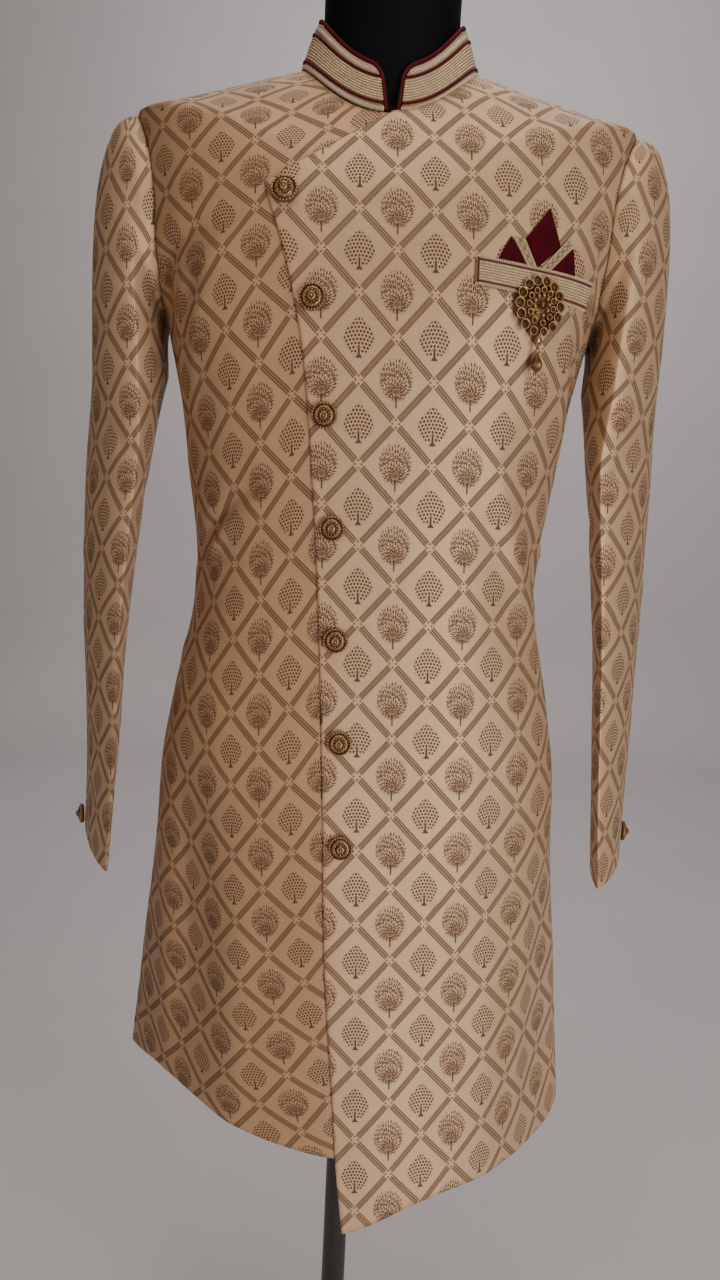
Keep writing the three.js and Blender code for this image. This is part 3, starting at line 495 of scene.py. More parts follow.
def underlap_edge_x(height):
    return UNDERLAP_EDGE.read(1, height)


def seam_inset(side):
    """Angle from the middle of a side to a panel's edge: the armhole bulges inwards."""
    share = (side - UNDERARM) / (SHOULDER_TIP - UNDERARM)
    inside = (share > 0) & (share < 1)
    bulge = ARMHOLE_BULGE * 2 * np.sqrt(np.where(inside, share * (1 - share), 0))
    return np.radians(bulge) + SEAM_GAP / 2 / BODY_TABLE.read(3, side)


def bisect(low, high, value_at, steps=40):
    """The place between two others at which a rising value passes zero."""
    low, high = np.array(low, float), np.array(high, float)
    for _ in range(steps):
        middle = (low + high) / 2
        below = value_at(middle) < 0
        low, high = np.where(below, middle, low), np.where(below, high, middle)
    return (low + high) / 2


def flap_corner_side():
    def miss(side):
        angle = bisect(FRONT_FROM, FRONT_TO, lambda turn: body_point(turn, side)[..., 0]
                       - flap_edge_x(body_point(turn, side)[..., 2]))
        return body_point(angle, side)[..., 2] - FLAP_CORNER[0]
    return float(bisect(1380, 1450, miss))


CORNER_SIDE = flap_corner_side()
print("the flap's corner lies on the ring at", round(CORNER_SIDE, 1))

# %% [markdown]
# ## Panels
# A panel is a grid of points. Rows below the hip follow the hem, so that the pattern
# of points stays even, and rows above it are level. A second grid one cloth thickness
# behind the first, and a rounded rim between the two, make the closed shell.

# %% Rows shared by the three panels
ARMHOLE_SHARES = (1 - np.cos(np.pi * np.linspace(0, 1, 40))) / 2
LEVEL_ROWS = np.unique(np.concatenate([
    np.linspace(SKIRT_LEVEL, UNDERARM, 118), UNDERARM + (SHOULDER_TIP - UNDERARM) * ARMHOLE_SHARES,
    [CORNER_SIDE], np.linspace(SHOULDER_TIP, NECK_SIDE, 15)]))
SKIRT_SHARES = np.linspace(0, 1, 49)[:-1]
ROWS = len(SKIRT_SHARES) + len(LEVEL_ROWS)


def row_sides(hem, angles):
    """Side heights of a grid of angles, one row of the grid for each row of the panel."""
    skirt = len(SKIRT_SHARES)
    low = hem.read(1, np.degrees(angles[:skirt]))
    sides = np.broadcast_to(np.concatenate([np.zeros(skirt), LEVEL_ROWS])[:, None], angles.shape).copy()
    sides[:skirt] = low + (SKIRT_LEVEL - low) * SKIRT_SHARES[:, None]
    return sides


def edge_angles(hem, edge_x):
    def miss(turn):
        at = body_point(turn, row_sides(hem, turn))
        return at[..., 0] - edge_x(at[..., 2])
    return bisect(np.full((ROWS, 1), FRONT_FROM), np.full((ROWS, 1), FRONT_TO), miss)


def seam_angles(hem, turn, sign):
    at = np.full((ROWS, 1), math.radians(turn))
    return at + sign * seam_inset(row_sides(hem, at))


def smooth_step(low, high, value):
    share = np.clip((value - low) / (high - low), 0, 1)
    return share * share * (3 - 2 * share)


def overlap_lift(x):
    """The overlap stands on the underlap, and comes down to the body past its edge."""
    return (WALL + LAP_CLEARANCE) * (1 - smooth_step(72, 125, x))


# %% Where each point lies on the flat cloth
def flat_cloth(low, high, origin):
    """Distances round the body from one angle, and up it from the waist."""
    angle_step, side_step = math.radians(0.5), 2.0
    angles = np.radians(np.arange(low, high + 0.01, 0.5))
    sides = np.arange(LOWEST_RING, NECK_SIDE + 0.5, side_step)
    points = body_point(angles[None, :], sides[:, None])
    across = np.zeros(points.shape[:2])
    across[:, 1:] = np.cumsum(np.linalg.norm(np.diff(points, axis=1), axis=2), 1)
    across -= across[:, [int(np.argmin(abs(angles - math.radians(origin))))]]
    up = np.zeros(points.shape[:2])
    up[1:] = np.cumsum(np.linalg.norm(np.diff(points, axis=0), axis=2), 0)
    up -= up[int(np.argmin(abs(sides - WAIST)))]

    def read(values, angle, side):
        column = np.clip((angle - angles[0]) / angle_step, 0, len(angles) - 1.001)
        row = np.clip((side - sides[0]) / side_step, 0, len(sides) - 1.001)
        left, below = column.astype(int), row.astype(int)
        share = column - left
        lower, upper = [values[at, left] * (1 - share) + values[at, left + 1] * share
                        for at in (below, below + 1)]
        return lower * (1 - row + below) + upper * (row - below)
    return lambda angle, side: (read(across, angle, side), read(up, angle, side))


FRONT_CLOTH = flat_cloth(-95, 95, 0)
BACK_CLOTH = flat_cloth(85, 275, 180)


# %% One closed shell from two grids
def link_piece(name, data):
    piece = bpy.data.objects.new(name, data)
    bpy.context.scene.collection.objects.link(piece)
    return piece


def smooth_piece(piece):
    faces = piece.data.polygons
    faces.foreach_set("use_smooth", np.ones(len(faces), bool))
    return piece


def new_piece(name, points, faces):
    """A smooth piece from points in millimetres and faces."""
    mesh = bpy.data.meshes.new(name)
    mesh.from_pydata((np.asarray(points, float) * MM).tolist(), [],
                     [tuple(map(int, face)) for face in faces])
    mesh.update()
    return smooth_piece(link_piece(name, mesh))


def shaped_piece(name, shaped):
    """A piece from a mesh that is still open for shaping, and is closed by this."""
    mesh = bpy.data.meshes.new(name)
    shaped.to_mesh(mesh)
    shaped.free()
    return link_piece(name, mesh)


def ring_faces(rows, sides, looped=False):
    """Quads between rings of points. Caps close the ends, unless the rings form a loop."""
    quads = [(row * sides + at, row * sides + (at + 1) % sides,
              (row + 1) % rows * sides + (at + 1) % sides, (row + 1) % rows * sides + at)
             for row in range(rows if looped else rows - 1) for at in range(sides)]
    if looped:
        return quads
    return [tuple(range(sides))[::-1], *quads, tuple(range((rows - 1) * sides, rows * sides))]


def grid_quads(rows, columns):
    """Row and column of the four corners of every quad of a grid."""
    row, column = np.meshgrid(np.arange(rows - 1), np.arange(columns - 1), indexing="ij")
    row, column = row.ravel(), column.ravel()
    return (np.stack([row, row, row + 1, row + 1], 1),
            np.stack([column, column + 1, column + 1, column], 1))


def shell_piece(name, outer, inner, pattern, closed=False, rim=0.7):
    """Outer and inner grids joined by a rounded rim. The pattern holds the place of
    each point on the flat cloth, in repeats of the weave; a closed grid has one more
    column of it than of points, so that the pattern runs on to its seam."""
    rows, columns = outer.shape[:2]
    wide = columns + 1 if closed else columns
    row, column = grid_quads(rows, wide)
    front = row * columns + column % columns
    place = pattern[row, column]
    if closed:
        loops = [[(0, c) for c in range(columns + 1)], [(rows - 1, c) for c in range(columns, -1, -1)]]
    else:
        loops = [[(0, c) for c in range(columns)] + [(r, columns - 1) for r in range(1, rows)]
                 + [(rows - 1, c) for c in range(columns - 2, -1, -1)]
                 + [(r, 0) for r in range(rows - 2, -1, -1)]]
    points = [outer.reshape(-1, 3), inner.reshape(-1, 3)]
    quads = [front, front[:, ::-1] + rows * columns]
    places = [place, place[:, ::-1]]
    middle = (outer + inner) / 2
    count = 2 * rows * columns
    for loop in loops:
        r, c = np.array(loop[:-1]).T
        edge = middle[r, c % columns]
        step_in = c % columns if closed else np.clip(c, 1, columns - 2)
        away = unit(edge - middle[np.clip(r, 1, rows - 2), step_in])
        points.append(edge + away * rim)
        here = r * columns + c % columns
        there = np.roll(here, -1)
        rim_here = count + np.arange(len(here))
        rim_there = np.roll(rim_here, -1)
        quads.append(np.stack([here, rim_here, rim_there, there], 1))
        quads.append(np.stack([rim_here, here + rows * columns, there + rows * columns, rim_there], 1))
        at_here = pattern[r, c]
        at_there = pattern[tuple(np.array(loop[1:]).T)]
        places += [np.stack([at_here, at_here, at_there, at_there], 1)] * 2
        count += len(here)
    piece = new_piece(name, np.concatenate(points), np.concatenate(quads))
    piece.data.uv_layers.new(name="cloth").data.foreach_set("uv", np.concatenate(places).ravel())
    slots = np.zeros(len(piece.data.polygons), int)
    slots[len(front):2 * len(front)] = 1
    piece.data.polygons.foreach_set("material_index", slots)
    return piece


def turned_out(piece):
    """Points the faces of a closed piece outwards."""
    shaped = bmesh.new()
    shaped.from_mesh(piece.data)
    bmesh.ops.recalc_face_normals(shaped, faces=shaped.faces)
    if shaped.calc_volume(signed=True) < 0:
        bmesh.ops.reverse_faces(shaped, faces=shaped.faces)
    shaped.to_mesh(piece.data)
    shaped.free()
    return piece


def finish_piece(piece, materials, slot, nodes, body=BODY):
    """Gives a piece its finishes, its body, its colour slot and the solids it stands for."""
    for material in materials:
        piece.data.materials.append(material)
    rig.ride(piece, body)
    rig.slot(piece, slot)
    if nodes:
        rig.replaces(piece, *nodes)
    print(piece.name, len(piece.data.polygons), "faces")
    return piece

# %% [markdown]
# ## The brocade
# The ground is a close satin weave. A lattice of narrow rails crosses it, with a small
# light knot at each crossing, and the diamonds hold two woven trees by turns: a round
# bushy one in the columns through the knots of the even rows, and a slim one of dotted
# leaves between them. One repeat of the lattice is about 61 by 68 mm. The figure is
# worked out from the cloth's own map, so it follows every fold.

# %% The lattice and its trees, in millimetres of cloth
REPEAT = (61.4, 68.1)
ACROSS_RAILS = 1 / math.hypot(1 / REPEAT[0], 1 / REPEAT[1])
RAYS = 4.77            # in one radian, so 30 rays stand round the fork of the round tree
LEAF_RISE, LEAF_STEP = 3.1, 2.9
WARP, WEFT = 0.62, 0.74    # from thread to thread


def largest(first, *others):
    for other in others:
        first = first.finish.math("MAXIMUM", first, other)
    return first


def bushy_tree(cloth, x, y, grain):
    """Broken rays from a low fork, with more rays further out, in a ragged crown."""
    from_fork = y + 9.0
    turn = cloth.math("ARCTAN2", x, from_fork) * RAYS + grain * 0.5
    reach = (x * x + from_fork * from_fork).root()
    crown = ((x * x) / 180.0 + (y - 0.8) * (y - 0.8) / 276.0).root() + (turn * 7.5).sine() * 0.05

    def rays(shift, start):
        place = turn + shift
        across = abs(place.fraction() - 0.5) * reach / RAYS
        ring = reach / 4.6 + place.floor() * 0.37 + grain * 0.8
        return cloth.less(across, 0.62, 0.28) * cloth.less(abs(ring.fraction() - 0.5), 0.38, 0.08) \
            * (1.0 - cloth.less(reach, start, 0.5))

    low = cloth.less(abs(x) * 0.7 + abs(y + 8.6), 3.4, 2.4) * 0.85
    stem = cloth.less(abs(x), 0.7, 0.4) * cloth.less(abs(y + 16.5), 5.0, 0.5)
    return largest(largest(rays(0.0, 3.0), rays(0.5, 12.5), low) * cloth.less(crown, 1.0, 0.06), stem)


def slim_tree(cloth, x, y, grain):
    """Rows of small leaf dots in a pointed outline, on a flared trunk."""
    taper = cloth.less(y, 9.5, 8.5) * 0.66 + 0.34
    outline = abs(x) / (taper * 12.6)
    low = cloth.less(y, -1.5, 0.5)
    outline = (outline * outline + (y + 1.5) * (y + 1.5) / (306.0 - low * 130.0)).root()
    droop = y + x * x * 0.018
    row = (droop / LEAF_RISE + 0.25).floor()
    slide = (row * 0.5).fraction() * LEAF_STEP
    dot_x = ((x + slide) / LEAF_STEP + 0.5).fraction() - 0.5
    dot_y = (droop / LEAF_RISE + 0.25).fraction() - 0.5
    dots = cloth.less((dot_x * dot_x * 1.2 + dot_y * dot_y).root() + grain * 0.26, 0.385, 0.09)
    trunk = cloth.less(abs(x), 0.9, 0.3) * cloth.less(abs(y + 12.0), 5.0, 0.6)
    foot = cloth.less(abs(x) + (y + 15.0) * 0.8, 1.6, 0.6) * cloth.less(abs(y + 15.2), 1.8, 0.4)
    clear = cloth.less(abs(x), 1.7, 0.4) * cloth.less(abs(y + 12.0), 5.0, 0.6)
    return largest(dots * cloth.less(outline, 0.98, 0.06) * (1.0 - clear), trunk, foot)


def brocade(name, ground, figure):
    """The woven cloth: ground and figure are each a dark and a light colour."""
    cloth = Finish(name)
    where = cloth.node("UVMap", {"uv_map": "cloth"})
    across, up, _ = cloth.split(where)
    threads = cloth.join(across * REPEAT[0], up * REPEAT[1])
    grain = cloth.noise(threads, 0.55, 3.0, 0.6) - 0.5
    falling, rising = across + up, across - up
    from_falling = abs((falling + 0.5).fraction() - 0.5) * ACROSS_RAILS
    from_rising = abs((rising + 0.5).fraction() - 0.5) * ACROSS_RAILS
    rails = cloth.less(from_falling, 2.9, 0.25) \
        * (1.0 - cloth.less(abs(from_falling - 1.15), 0.28, 0.15) * 0.8)
    solid = cloth.less(from_rising, 2.7, 0.3) * (1.0 - cloth.less(from_rising, 1.0, 0.5) * 0.14)
    knot = cloth.less(largest(from_falling, from_rising), 3.9, 0.35)
    knot_dots = cloth.less(abs(from_falling - 2.1), 0.75, 0.3) \
        * cloth.less(abs(from_rising - 2.1), 0.75, 0.3)
    lattice = largest(rails * 0.84, solid * 0.78) * (1.0 - knot) + knot * knot_dots
    cell_p, cell_q = falling.fraction() - 0.5, rising.fraction() - 0.5
    x = (cell_p + cell_q) * (REPEAT[0] / 2)
    y = (cell_p - cell_q) * (REPEAT[1] / 2)
    odd = ((falling.floor() + rising.floor()) * 0.5).fraction() * 2.0
    trees = bushy_tree(cloth, x, y, grain) * odd + slim_tree(cloth, x, y, grain) * (1.0 - odd)
    woven = largest(lattice, trees)
    warp = (across * (REPEAT[0] / WARP * 2 * math.pi) + (up * REPEAT[1] * 1.3).sine() * 0.6).sine()
    weft = (up * (REPEAT[1] / WEFT * 2 * math.pi)).sine()
    slubs = cloth.noise(cloth.join(across * REPEAT[0] * 0.12, up * REPEAT[1] * 1.6), 1.0, 2.0, 0.5)
    mottle = cloth.noise(threads, 0.035, 3.0, 0.5)
    base = cloth.blend(mottle * 0.55 + slubs * 0.45 + warp * weft * 0.10 + grain * 0.8, *ground)
    thread = cloth.blend(grain * 1.4 + 0.5 + warp * 0.12, *figure)
    colour = cloth.blend(woven * 0.96, base, thread)
    relief = woven * 0.55 + warp * 0.12 + weft * 0.1 + slubs * 0.25 + grain * woven * 0.5
    return cloth.surface(Base_Color=colour, Roughness=0.44 + woven * 0.16 + mottle * 0.10,
                         Metallic=0.34 - woven * 0.30, Specular_IOR_Level=0.30,
                         Normal=cloth.bump(relief, 0.00022, 0.55))


# The underlap's brocade is a copy with a darker ground: painted shade, as the underlap lies in shade beside the
# overlap's edge.
FIGURE = ((0.046, 0.016, 0.0065), (0.115, 0.047, 0.022))
BROCADE = brocade("brocade", ((0.49, 0.325, 0.195), (0.62, 0.445, 0.285)), FIGURE)
PAINTED_SHADE_BROCADE = brocade("turned_brocade", ((0.395, 0.244, 0.136), (0.51, 0.337, 0.200)), FIGURE)


def lining_finish():
    lining = Finish("lining")
    place = lining.place()
    ribs = (lining.split(place)[2] * 5200.0).sine()
    tone = lining.noise(place, 40.0, 2.0)
    return lining.surface(
        Base_Color=lining.blend(tone, (0.42, 0.31, 0.20), (0.50, 0.38, 0.26)),
        Roughness=0.42 + tone * 0.15, Normal=lining.bump(ribs + tone, 0.0001, 0.4))


LINING = lining_finish()
print("brocade nodes", len(BROCADE.node_tree.nodes))

# %% Where the figure lies on each panel
POWERS = [(0, 0), (1, 0), (0, 1), (2, 0), (1, 1), (0, 2), (1, 2), (0, 3)]


def figure_map(across_terms, up_terms):
    """Repeats of the lattice from millimetres of cloth, with the grain a little off true.
    The terms are those of the powers of metres across and up that stand above."""
    def figure(across, up):
        x, y = across * MM, up * MM
        return np.stack([sum(term * x ** a * y ** b for term, (a, b) in zip(terms, POWERS))
                         for terms in (across_terms, up_terms)], -1)
    return figure


overlap_figure = figure_map([-0.384, 16.295, 0.664], [-4.007, -0.093, 14.689])
underlap_figure = figure_map([1.677, 17.54, 0.32, -4.42, -0.54, -1.81, -15.26, 4.21],
                             [-2.164, -6.16, 14.46, -16.16, -3.04, -0.08, -3.02, 4.95])
back_figure = figure_map([0, 1 / MM / REPEAT[0]], [-0.3, 0, 1 / MM / REPEAT[1]])
SLEEVE_FIGURES = {1: figure_map([-0.275, -17.29, -1.43], [-0.211, -0.08, 15.13]),
                  -1: figure_map([0.167, 18.4, 0.28], [-0.089, -0.91, 15.14])}


# %% The three body panels
def seam_dip(share, columns_mm):
    """How the cloth sinks at a seam and swells over the turned edge beside it."""
    away = columns_mm * share
    return 0.6 * np.exp(-((away - 5.5) / 3) ** 2) - 0.45 * np.exp(-(away / 2.2) ** 2)


def panel(name, hem, first, last, columns, figure, cloth_map, lift_at, free_first, free_last,
          cloth=BROCADE):
    """A panel between two edges. A free edge isn't sewn, so the cloth doesn't dip there."""
    shares = np.linspace(0, 1, columns)[None, :]
    angles = first + (last - first) * shares
    sides = row_sides(hem, angles)
    flat = body_point(angles, sides)
    lift = lift_at(flat[..., 0])
    width = np.linalg.norm(np.diff(flat, axis=1), axis=2).sum(1)[:, None]
    pucker = 0.25 * np.sin(sides * 0.41) + 0.2 * np.sin(sides * 0.23 + 1.0)
    if not free_first:
        lift = lift + seam_dip(shares, width) * (1 + pucker)
    if not free_last:
        lift = lift + seam_dip(1 - shares, width) * (1 + pucker)
    outer = cloth_point(angles, sides, lift)
    inner = cloth_point(angles, sides, lift - SHELL)
    across, up = cloth_map(angles, sides)
    piece = shell_piece(name, outer, inner, figure(across, up), rim=0.5)
    size = [float(np.ptp(across)) * MM, float(np.ptp(up)) * MM]
    return finish_piece(piece, [cloth, LINING], "brocade", [name.replace("cloth_", "")]), size


overlap, overlap_size = panel(
    "cloth_front_overlap", OVERLAP_HEM, edge_angles(OVERLAP_HEM, flap_edge_x),
    seam_angles(OVERLAP_HEM, 90, -1), 92, overlap_figure, FRONT_CLOTH, overlap_lift, True, False)
# The underlap wears the brocade copy whose darker ground is painted shade.
underlap, underlap_size = panel(
    "cloth_front_underlap", UNDERLAP_HEM, seam_angles(UNDERLAP_HEM, -90, 1),
    edge_angles(UNDERLAP_HEM, underlap_edge_x), 84, underlap_figure, FRONT_CLOTH, np.zeros_like,
    False, True, PAINTED_SHADE_BROCADE)
back, back_size = panel(
    "cloth_back", BACK_HEM, seam_angles(BACK_HEM, 90, 1), seam_angles(BACK_HEM, 270, -1), 104,
    back_figure, BACK_CLOTH, np.zeros_like, False, False)
print("flat sizes", overlap_size, underlap_size, back_size)

# %% [markdown]
# ## Sleeves
# A hanging sleeve is flat, with a pressed crease in front. Its cap leaves the armhole
# sideways and turns down, so that the shoulder is a clean edge. Each is a closed tube.

# %% Sleeve surface
ARMS = {1: SmoothTable([
    [772, 261, 4, 60, 14, 19], [880, 256, 2, 62, 16, 23], [1010, 249.5, 0, 66, 20, 25],
    [1160, 238, 0, 72, 28, 27], [1235, 231, 0, 74, 35, 17]]),
    -1: SmoothTable([
        [764, 267, 4, 58, 8, 25], [880, 259.5, 2, 61, 13, 25], [1010, 255, 0, 66, 19.5, 25.5],
        [1160, 243, 0, 72, 27.5, 27], [1235, 232.5, 0, 74, 35, 18]])}
CAP_LEVEL, CUFF_FROM, CUFF_LEVEL, CUFF_SLANT = 1235, 900, 772, 0.17
CREASE_SHARPNESS, BACK_SHARPNESS = 1.5, 1.15     # the pressed crease, and the rounder back
SEAM_TURN, CREASE_TURN = 200, 450     # degrees round the arm, of the grid's seam and of the crease


def sleeve_point(around, height, inset, mirror=1):
    x0, y0, length, thick, turn = [ARMS[mirror].read(column, height) for column in range(1, 6)]
    turn = np.radians(turn)
    along = np.sin(around) * (length - inset)
    sharp = np.where(np.sin(around) > 0, CREASE_SHARPNESS, BACK_SHARPNESS)
    across = np.sign(np.cos(around)) * np.abs(np.cos(around)) ** sharp * (thick - inset)
    x = x0 - np.sin(turn) * along + np.cos(turn) * across
    y = y0 - np.cos(turn) * along - np.sin(turn) * across
    slant = CUFF_SLANT * smooth_step(-CUFF_FROM, -CUFF_LEVEL, -height) * y
    return np.stack(np.broadcast_arrays(x, y, height + slant), -1)


def armhole_point(around, mirror):
    side = UNDERARM + (SHOULDER_TIP - UNDERARM) * (1 + np.cos(around)) / 2
    angle = np.radians(90 - ARMHOLE_BULGE * np.sin(around))
    flat = body_point(mirror * angle, side)
    out = fold_depth(mirror * angle, side) + crease_depth(flat)
    at = flat + body_normal(mirror * angle, side) * out[..., None]
    at[..., 0] *= mirror
    return at


LOW_REACH, HIGH_REACH = 16, 150    # how far the cap sets out sideways, under the arm and on top


def cap_point(around, share, inset, mirror):
    """The cap: a curve from the armhole, which it leaves sideways, down to the arm."""
    high = (1 + np.cos(around)) / 2
    rim = armhole_point(around, mirror)
    inward = np.array([0, 0, (UNDERARM + SHOULDER_TIP) / 2]) - rim
    inward[..., 0] = 0
    rim = rim + unit(inward) * (SEAM_GAP + 0.1 + inset)
    rim[..., 0] += SEAM_GAP
    end = sleeve_point(around, CAP_LEVEL, inset, mirror)
    reach = LOW_REACH + (HIGH_REACH - LOW_REACH) * high
    leave = np.stack([reach, -0.3 * reach * np.sin(around), -0.1 * reach], -1)
    arrive = np.stack([0 * reach, 0 * reach, -1.15 * (rim[..., 2] - end[..., 2])], -1)
    rest = (1 - share) ** 2
    on = share * share
    return (rim * rest * (1 + 2 * share) + leave * rest * share
            + end * on * (3 - 2 * share) + arrive * on * (share - 1))


# %% Creases of the sleeves: points (angle round, height), half width, depth
SLEEVE_CREASES = {
    1: [([(30, 1190), (60, 1160), (88, 1150)], 7, -1.6), ([(-10, 1120), (30, 1096), (70, 1090)], 9, 1.3),
        ([(20, 1040), (52, 1026), (84, 1030)], 8, -1.4), ([(-20, 1010), (20, 1000), (60, 1008)], 9, 1.1),
        ([(120, 1160), (150, 1120), (180, 1100)], 9, -1.4), ([(40, 920), (66, 908), (88, 912)], 8, -1.0),
        ([(200, 1130), (240, 1100), (270, 1096)], 9, 1.4), ([(210, 1020), (250, 1006), (280, 1008)], 9, -1.3),
        ([(300, 1060), (325, 1050), (350, 1056)], 9, 1.0), ([(10, 860), (40, 850), (70, 856)], 8, 0.8)],
    -1: [([(24, 1200), (56, 1168), (88, 1160)], 7, -1.8), ([(-14, 1134), (24, 1110), (62, 1100)], 9, 1.4),
         ([(10, 1060), (46, 1040), (82, 1044)], 8, -1.5), ([(-24, 990), (16, 976), (60, 984)], 9, 1.2),
         ([(120, 1170), (150, 1130), (180, 1110)], 9, -1.4), ([(30, 900), (60, 886), (88, 892)], 8, -1.1),
         ([(200, 1140), (240, 1110), (270, 1100)], 9, 1.4),
         ([(215, 1030), (250, 1016), (282, 1020)], 9, -1.3),
         ([(304, 1080), (328, 1066), (352, 1070)], 9, 1.0), ([(16, 840), (44, 832), (72, 838)], 8, 0.8)]}
CAP_ROWS = np.linspace(0, 1, 37)[:-1]


def sleeve_grid(inset, mirror, turns):
    cap = np.stack([cap_point(turns, share, inset, mirror) for share in CAP_ROWS])
    levels = np.linspace(CAP_LEVEL, ARMS[mirror].at[0], 100)
    arm = np.stack([sleeve_point(turns, height, inset, mirror) for height in levels])
    return np.concatenate([cap, arm])


def grid_normals(points):
    """Outward directions of a grid that is closed across its columns."""
    across = np.roll(points, -1, axis=1) - np.roll(points, 1, axis=1)
    down = np.empty_like(points)
    down[1:-1] = points[2:] - points[:-2]
    down[0], down[-1] = points[1] - points[0], points[-1] - points[-2]
    return unit(np.cross(across, down))


def around_arm(points, mirror):
    """Distance round the top of the arm, from the front crease, to points of the cap."""
    x0, y0, length, thick, turn = [float(ARMS[mirror].read(column, CAP_LEVEL)) for column in range(1, 6)]
    turn = math.radians(turn)
    x, y = points[..., 0] - x0, points[..., 1] - y0
    along = -math.sin(turn) * x - math.cos(turn) * y
    thin = (math.cos(turn) * x - math.sin(turn) * y) / thick
    around = np.arctan2(along / length, np.sign(thin) * np.abs(thin) ** (1 / CREASE_SHARPNESS))
    around = np.unwrap(around, axis=1)
    # Two thirds of the columns lie before the crease, so that one tells the whole turns.
    by_crease = around[:, [around.shape[1] * 4 // 6]]
    around += 2 * np.pi * np.round((math.radians(CREASE_TURN) - by_crease) / (2 * np.pi))
    rim = np.radians(np.arange(0, 2 * CREASE_TURN))
    length = along_path(sleeve_point(rim, CAP_LEVEL + 0 * rim, 0, mirror))
    return np.interp(around, rim, length - length[CREASE_TURN])


def sleeve(side_name, mirror):
    columns = 92
    turns = np.linspace(0, 2 * np.pi, columns + 1)[:-1] + math.radians(SEAM_TURN)
    outer, inner = [sleeve_grid(inset, mirror, turns) for inset in (0, SHELL)]
    normals = grid_normals(outer)
    centre = outer.mean(1, keepdims=True)
    if ((outer - centre) * normals).sum() < 0:
        normals = -normals
    move = uneven(outer + (60 if mirror > 0 else 0), 0.6)
    move += crease_shape(outer, SLEEVE_CREASES[mirror],
                         lambda around, height: sleeve_point(around, height, 0, mirror), 16)
    from_seam = along_path(outer[:, :6].mean(1))
    ease = np.clip(from_seam / 14, 0, 1)[:, None]
    seam_ridge = 2.0 * np.exp(-((from_seam[:, None] - 3.5) / 4.5) ** 2) * (1 + 0.2 * np.sin(turns * 23))
    move = move * ease + seam_ridge
    step = np.linalg.norm(np.diff(np.concatenate([outer, outer[:, :1]], 1), axis=1), axis=2)
    across = np.concatenate([np.zeros((len(outer), 1)), np.cumsum(step, 1)], 1)
    across = across - across[:, [int(np.argmin(abs(turns - math.radians(CREASE_TURN))))]]
    first = len(CAP_ROWS)
    across[:first] = around_arm(np.concatenate([outer[:first], outer[:first, :1]], 1), mirror)
    down = np.concatenate([np.zeros((1, columns)),
                           np.cumsum(np.linalg.norm(np.diff(outer, axis=0), axis=2), 0)])
    outside = smooth_step(0.5, 0.95, np.cos(turns))
    up = outside * (down[first] - down) + (1 - outside) * (outer[..., 2] - CAP_LEVEL)
    figure = SLEEVE_FIGURES[mirror](across, np.concatenate([up, up[:, :1]], 1))
    outer, inner = outer + normals * move[..., None], inner + normals * move[..., None]
    for points in (outer, inner):
        points[..., 0] *= mirror
    if mirror < 0:
        outer, inner, figure = outer[::-1], inner[::-1], figure[::-1]
    piece = turned_out(shell_piece(f"cloth_sleeve_{side_name}", outer, inner, figure, closed=True, rim=0.5))
    size = [float(np.ptp(across)) * MM, float(np.ptp(down)) * MM]
    return finish_piece(piece, [BROCADE, LINING], "brocade", [f"sleeve_{side_name}"]), size


sleeve_left, sleeve_left_size = sleeve("left", 1)
sleeve_right, sleeve_right_size = sleeve("right", -1)
print("sleeve cloth", sleeve_left_size, sleeve_right_size)

# %% [markdown]
# ## Trim
# The collar and the pocket's welt are covered with rows of a fine bead cord in cream and
# gold, between flat maroon cords. The rows repeat along a path, so one small node tree
# lays beads along any set of paths.

# %% Plain finishes of the trim
TWISTS_A_METRE = 900.0


def cord_finish(name, dark, light, rough, shine=0.3):
    cord = Finish(name)
    place = cord.place()
    x, y, z = cord.split(place)
    strands = ((x + y + z * 1.7) * (TWISTS_A_METRE * 2 * math.pi)).sine()
    tone = cord.noise(place, 260.0, 3.0)
    return cord.surface(
        Base_Color=cord.blend(tone * 0.8 + strands * 0.15 + 0.1, dark, light),
        Roughness=rough + tone * 0.15, Specular_IOR_Level=shine,
        Normal=cord.bump(strands + tone * 0.6, 0.00012, 0.7))


MAROON_CORD = cord_finish("maroon_cord", (0.060, 0.002, 0.006), (0.120, 0.006, 0.013), 0.58, 0.12)
CREAM_CORD = cord_finish("cream_cord", (0.50, 0.38, 0.27), (0.80, 0.68, 0.54), 0.45)


def bead_finish():
    bead = Finish("gold_bead")
    place = bead.place()
    tone = bead.noise(place, 420.0, 2.0)
    return bead.surface(Base_Color=bead.blend(tone * 1.3 - 0.15, (0.42, 0.29, 0.15), (0.86, 0.74, 0.52)),
                        Roughness=0.30 + tone * 0.12, Metallic=0.35, Specular_IOR_Level=0.6,
                        Normal=bead.bump(tone, 0.0001, 0.4))


GOLD_BEAD = bead_finish()


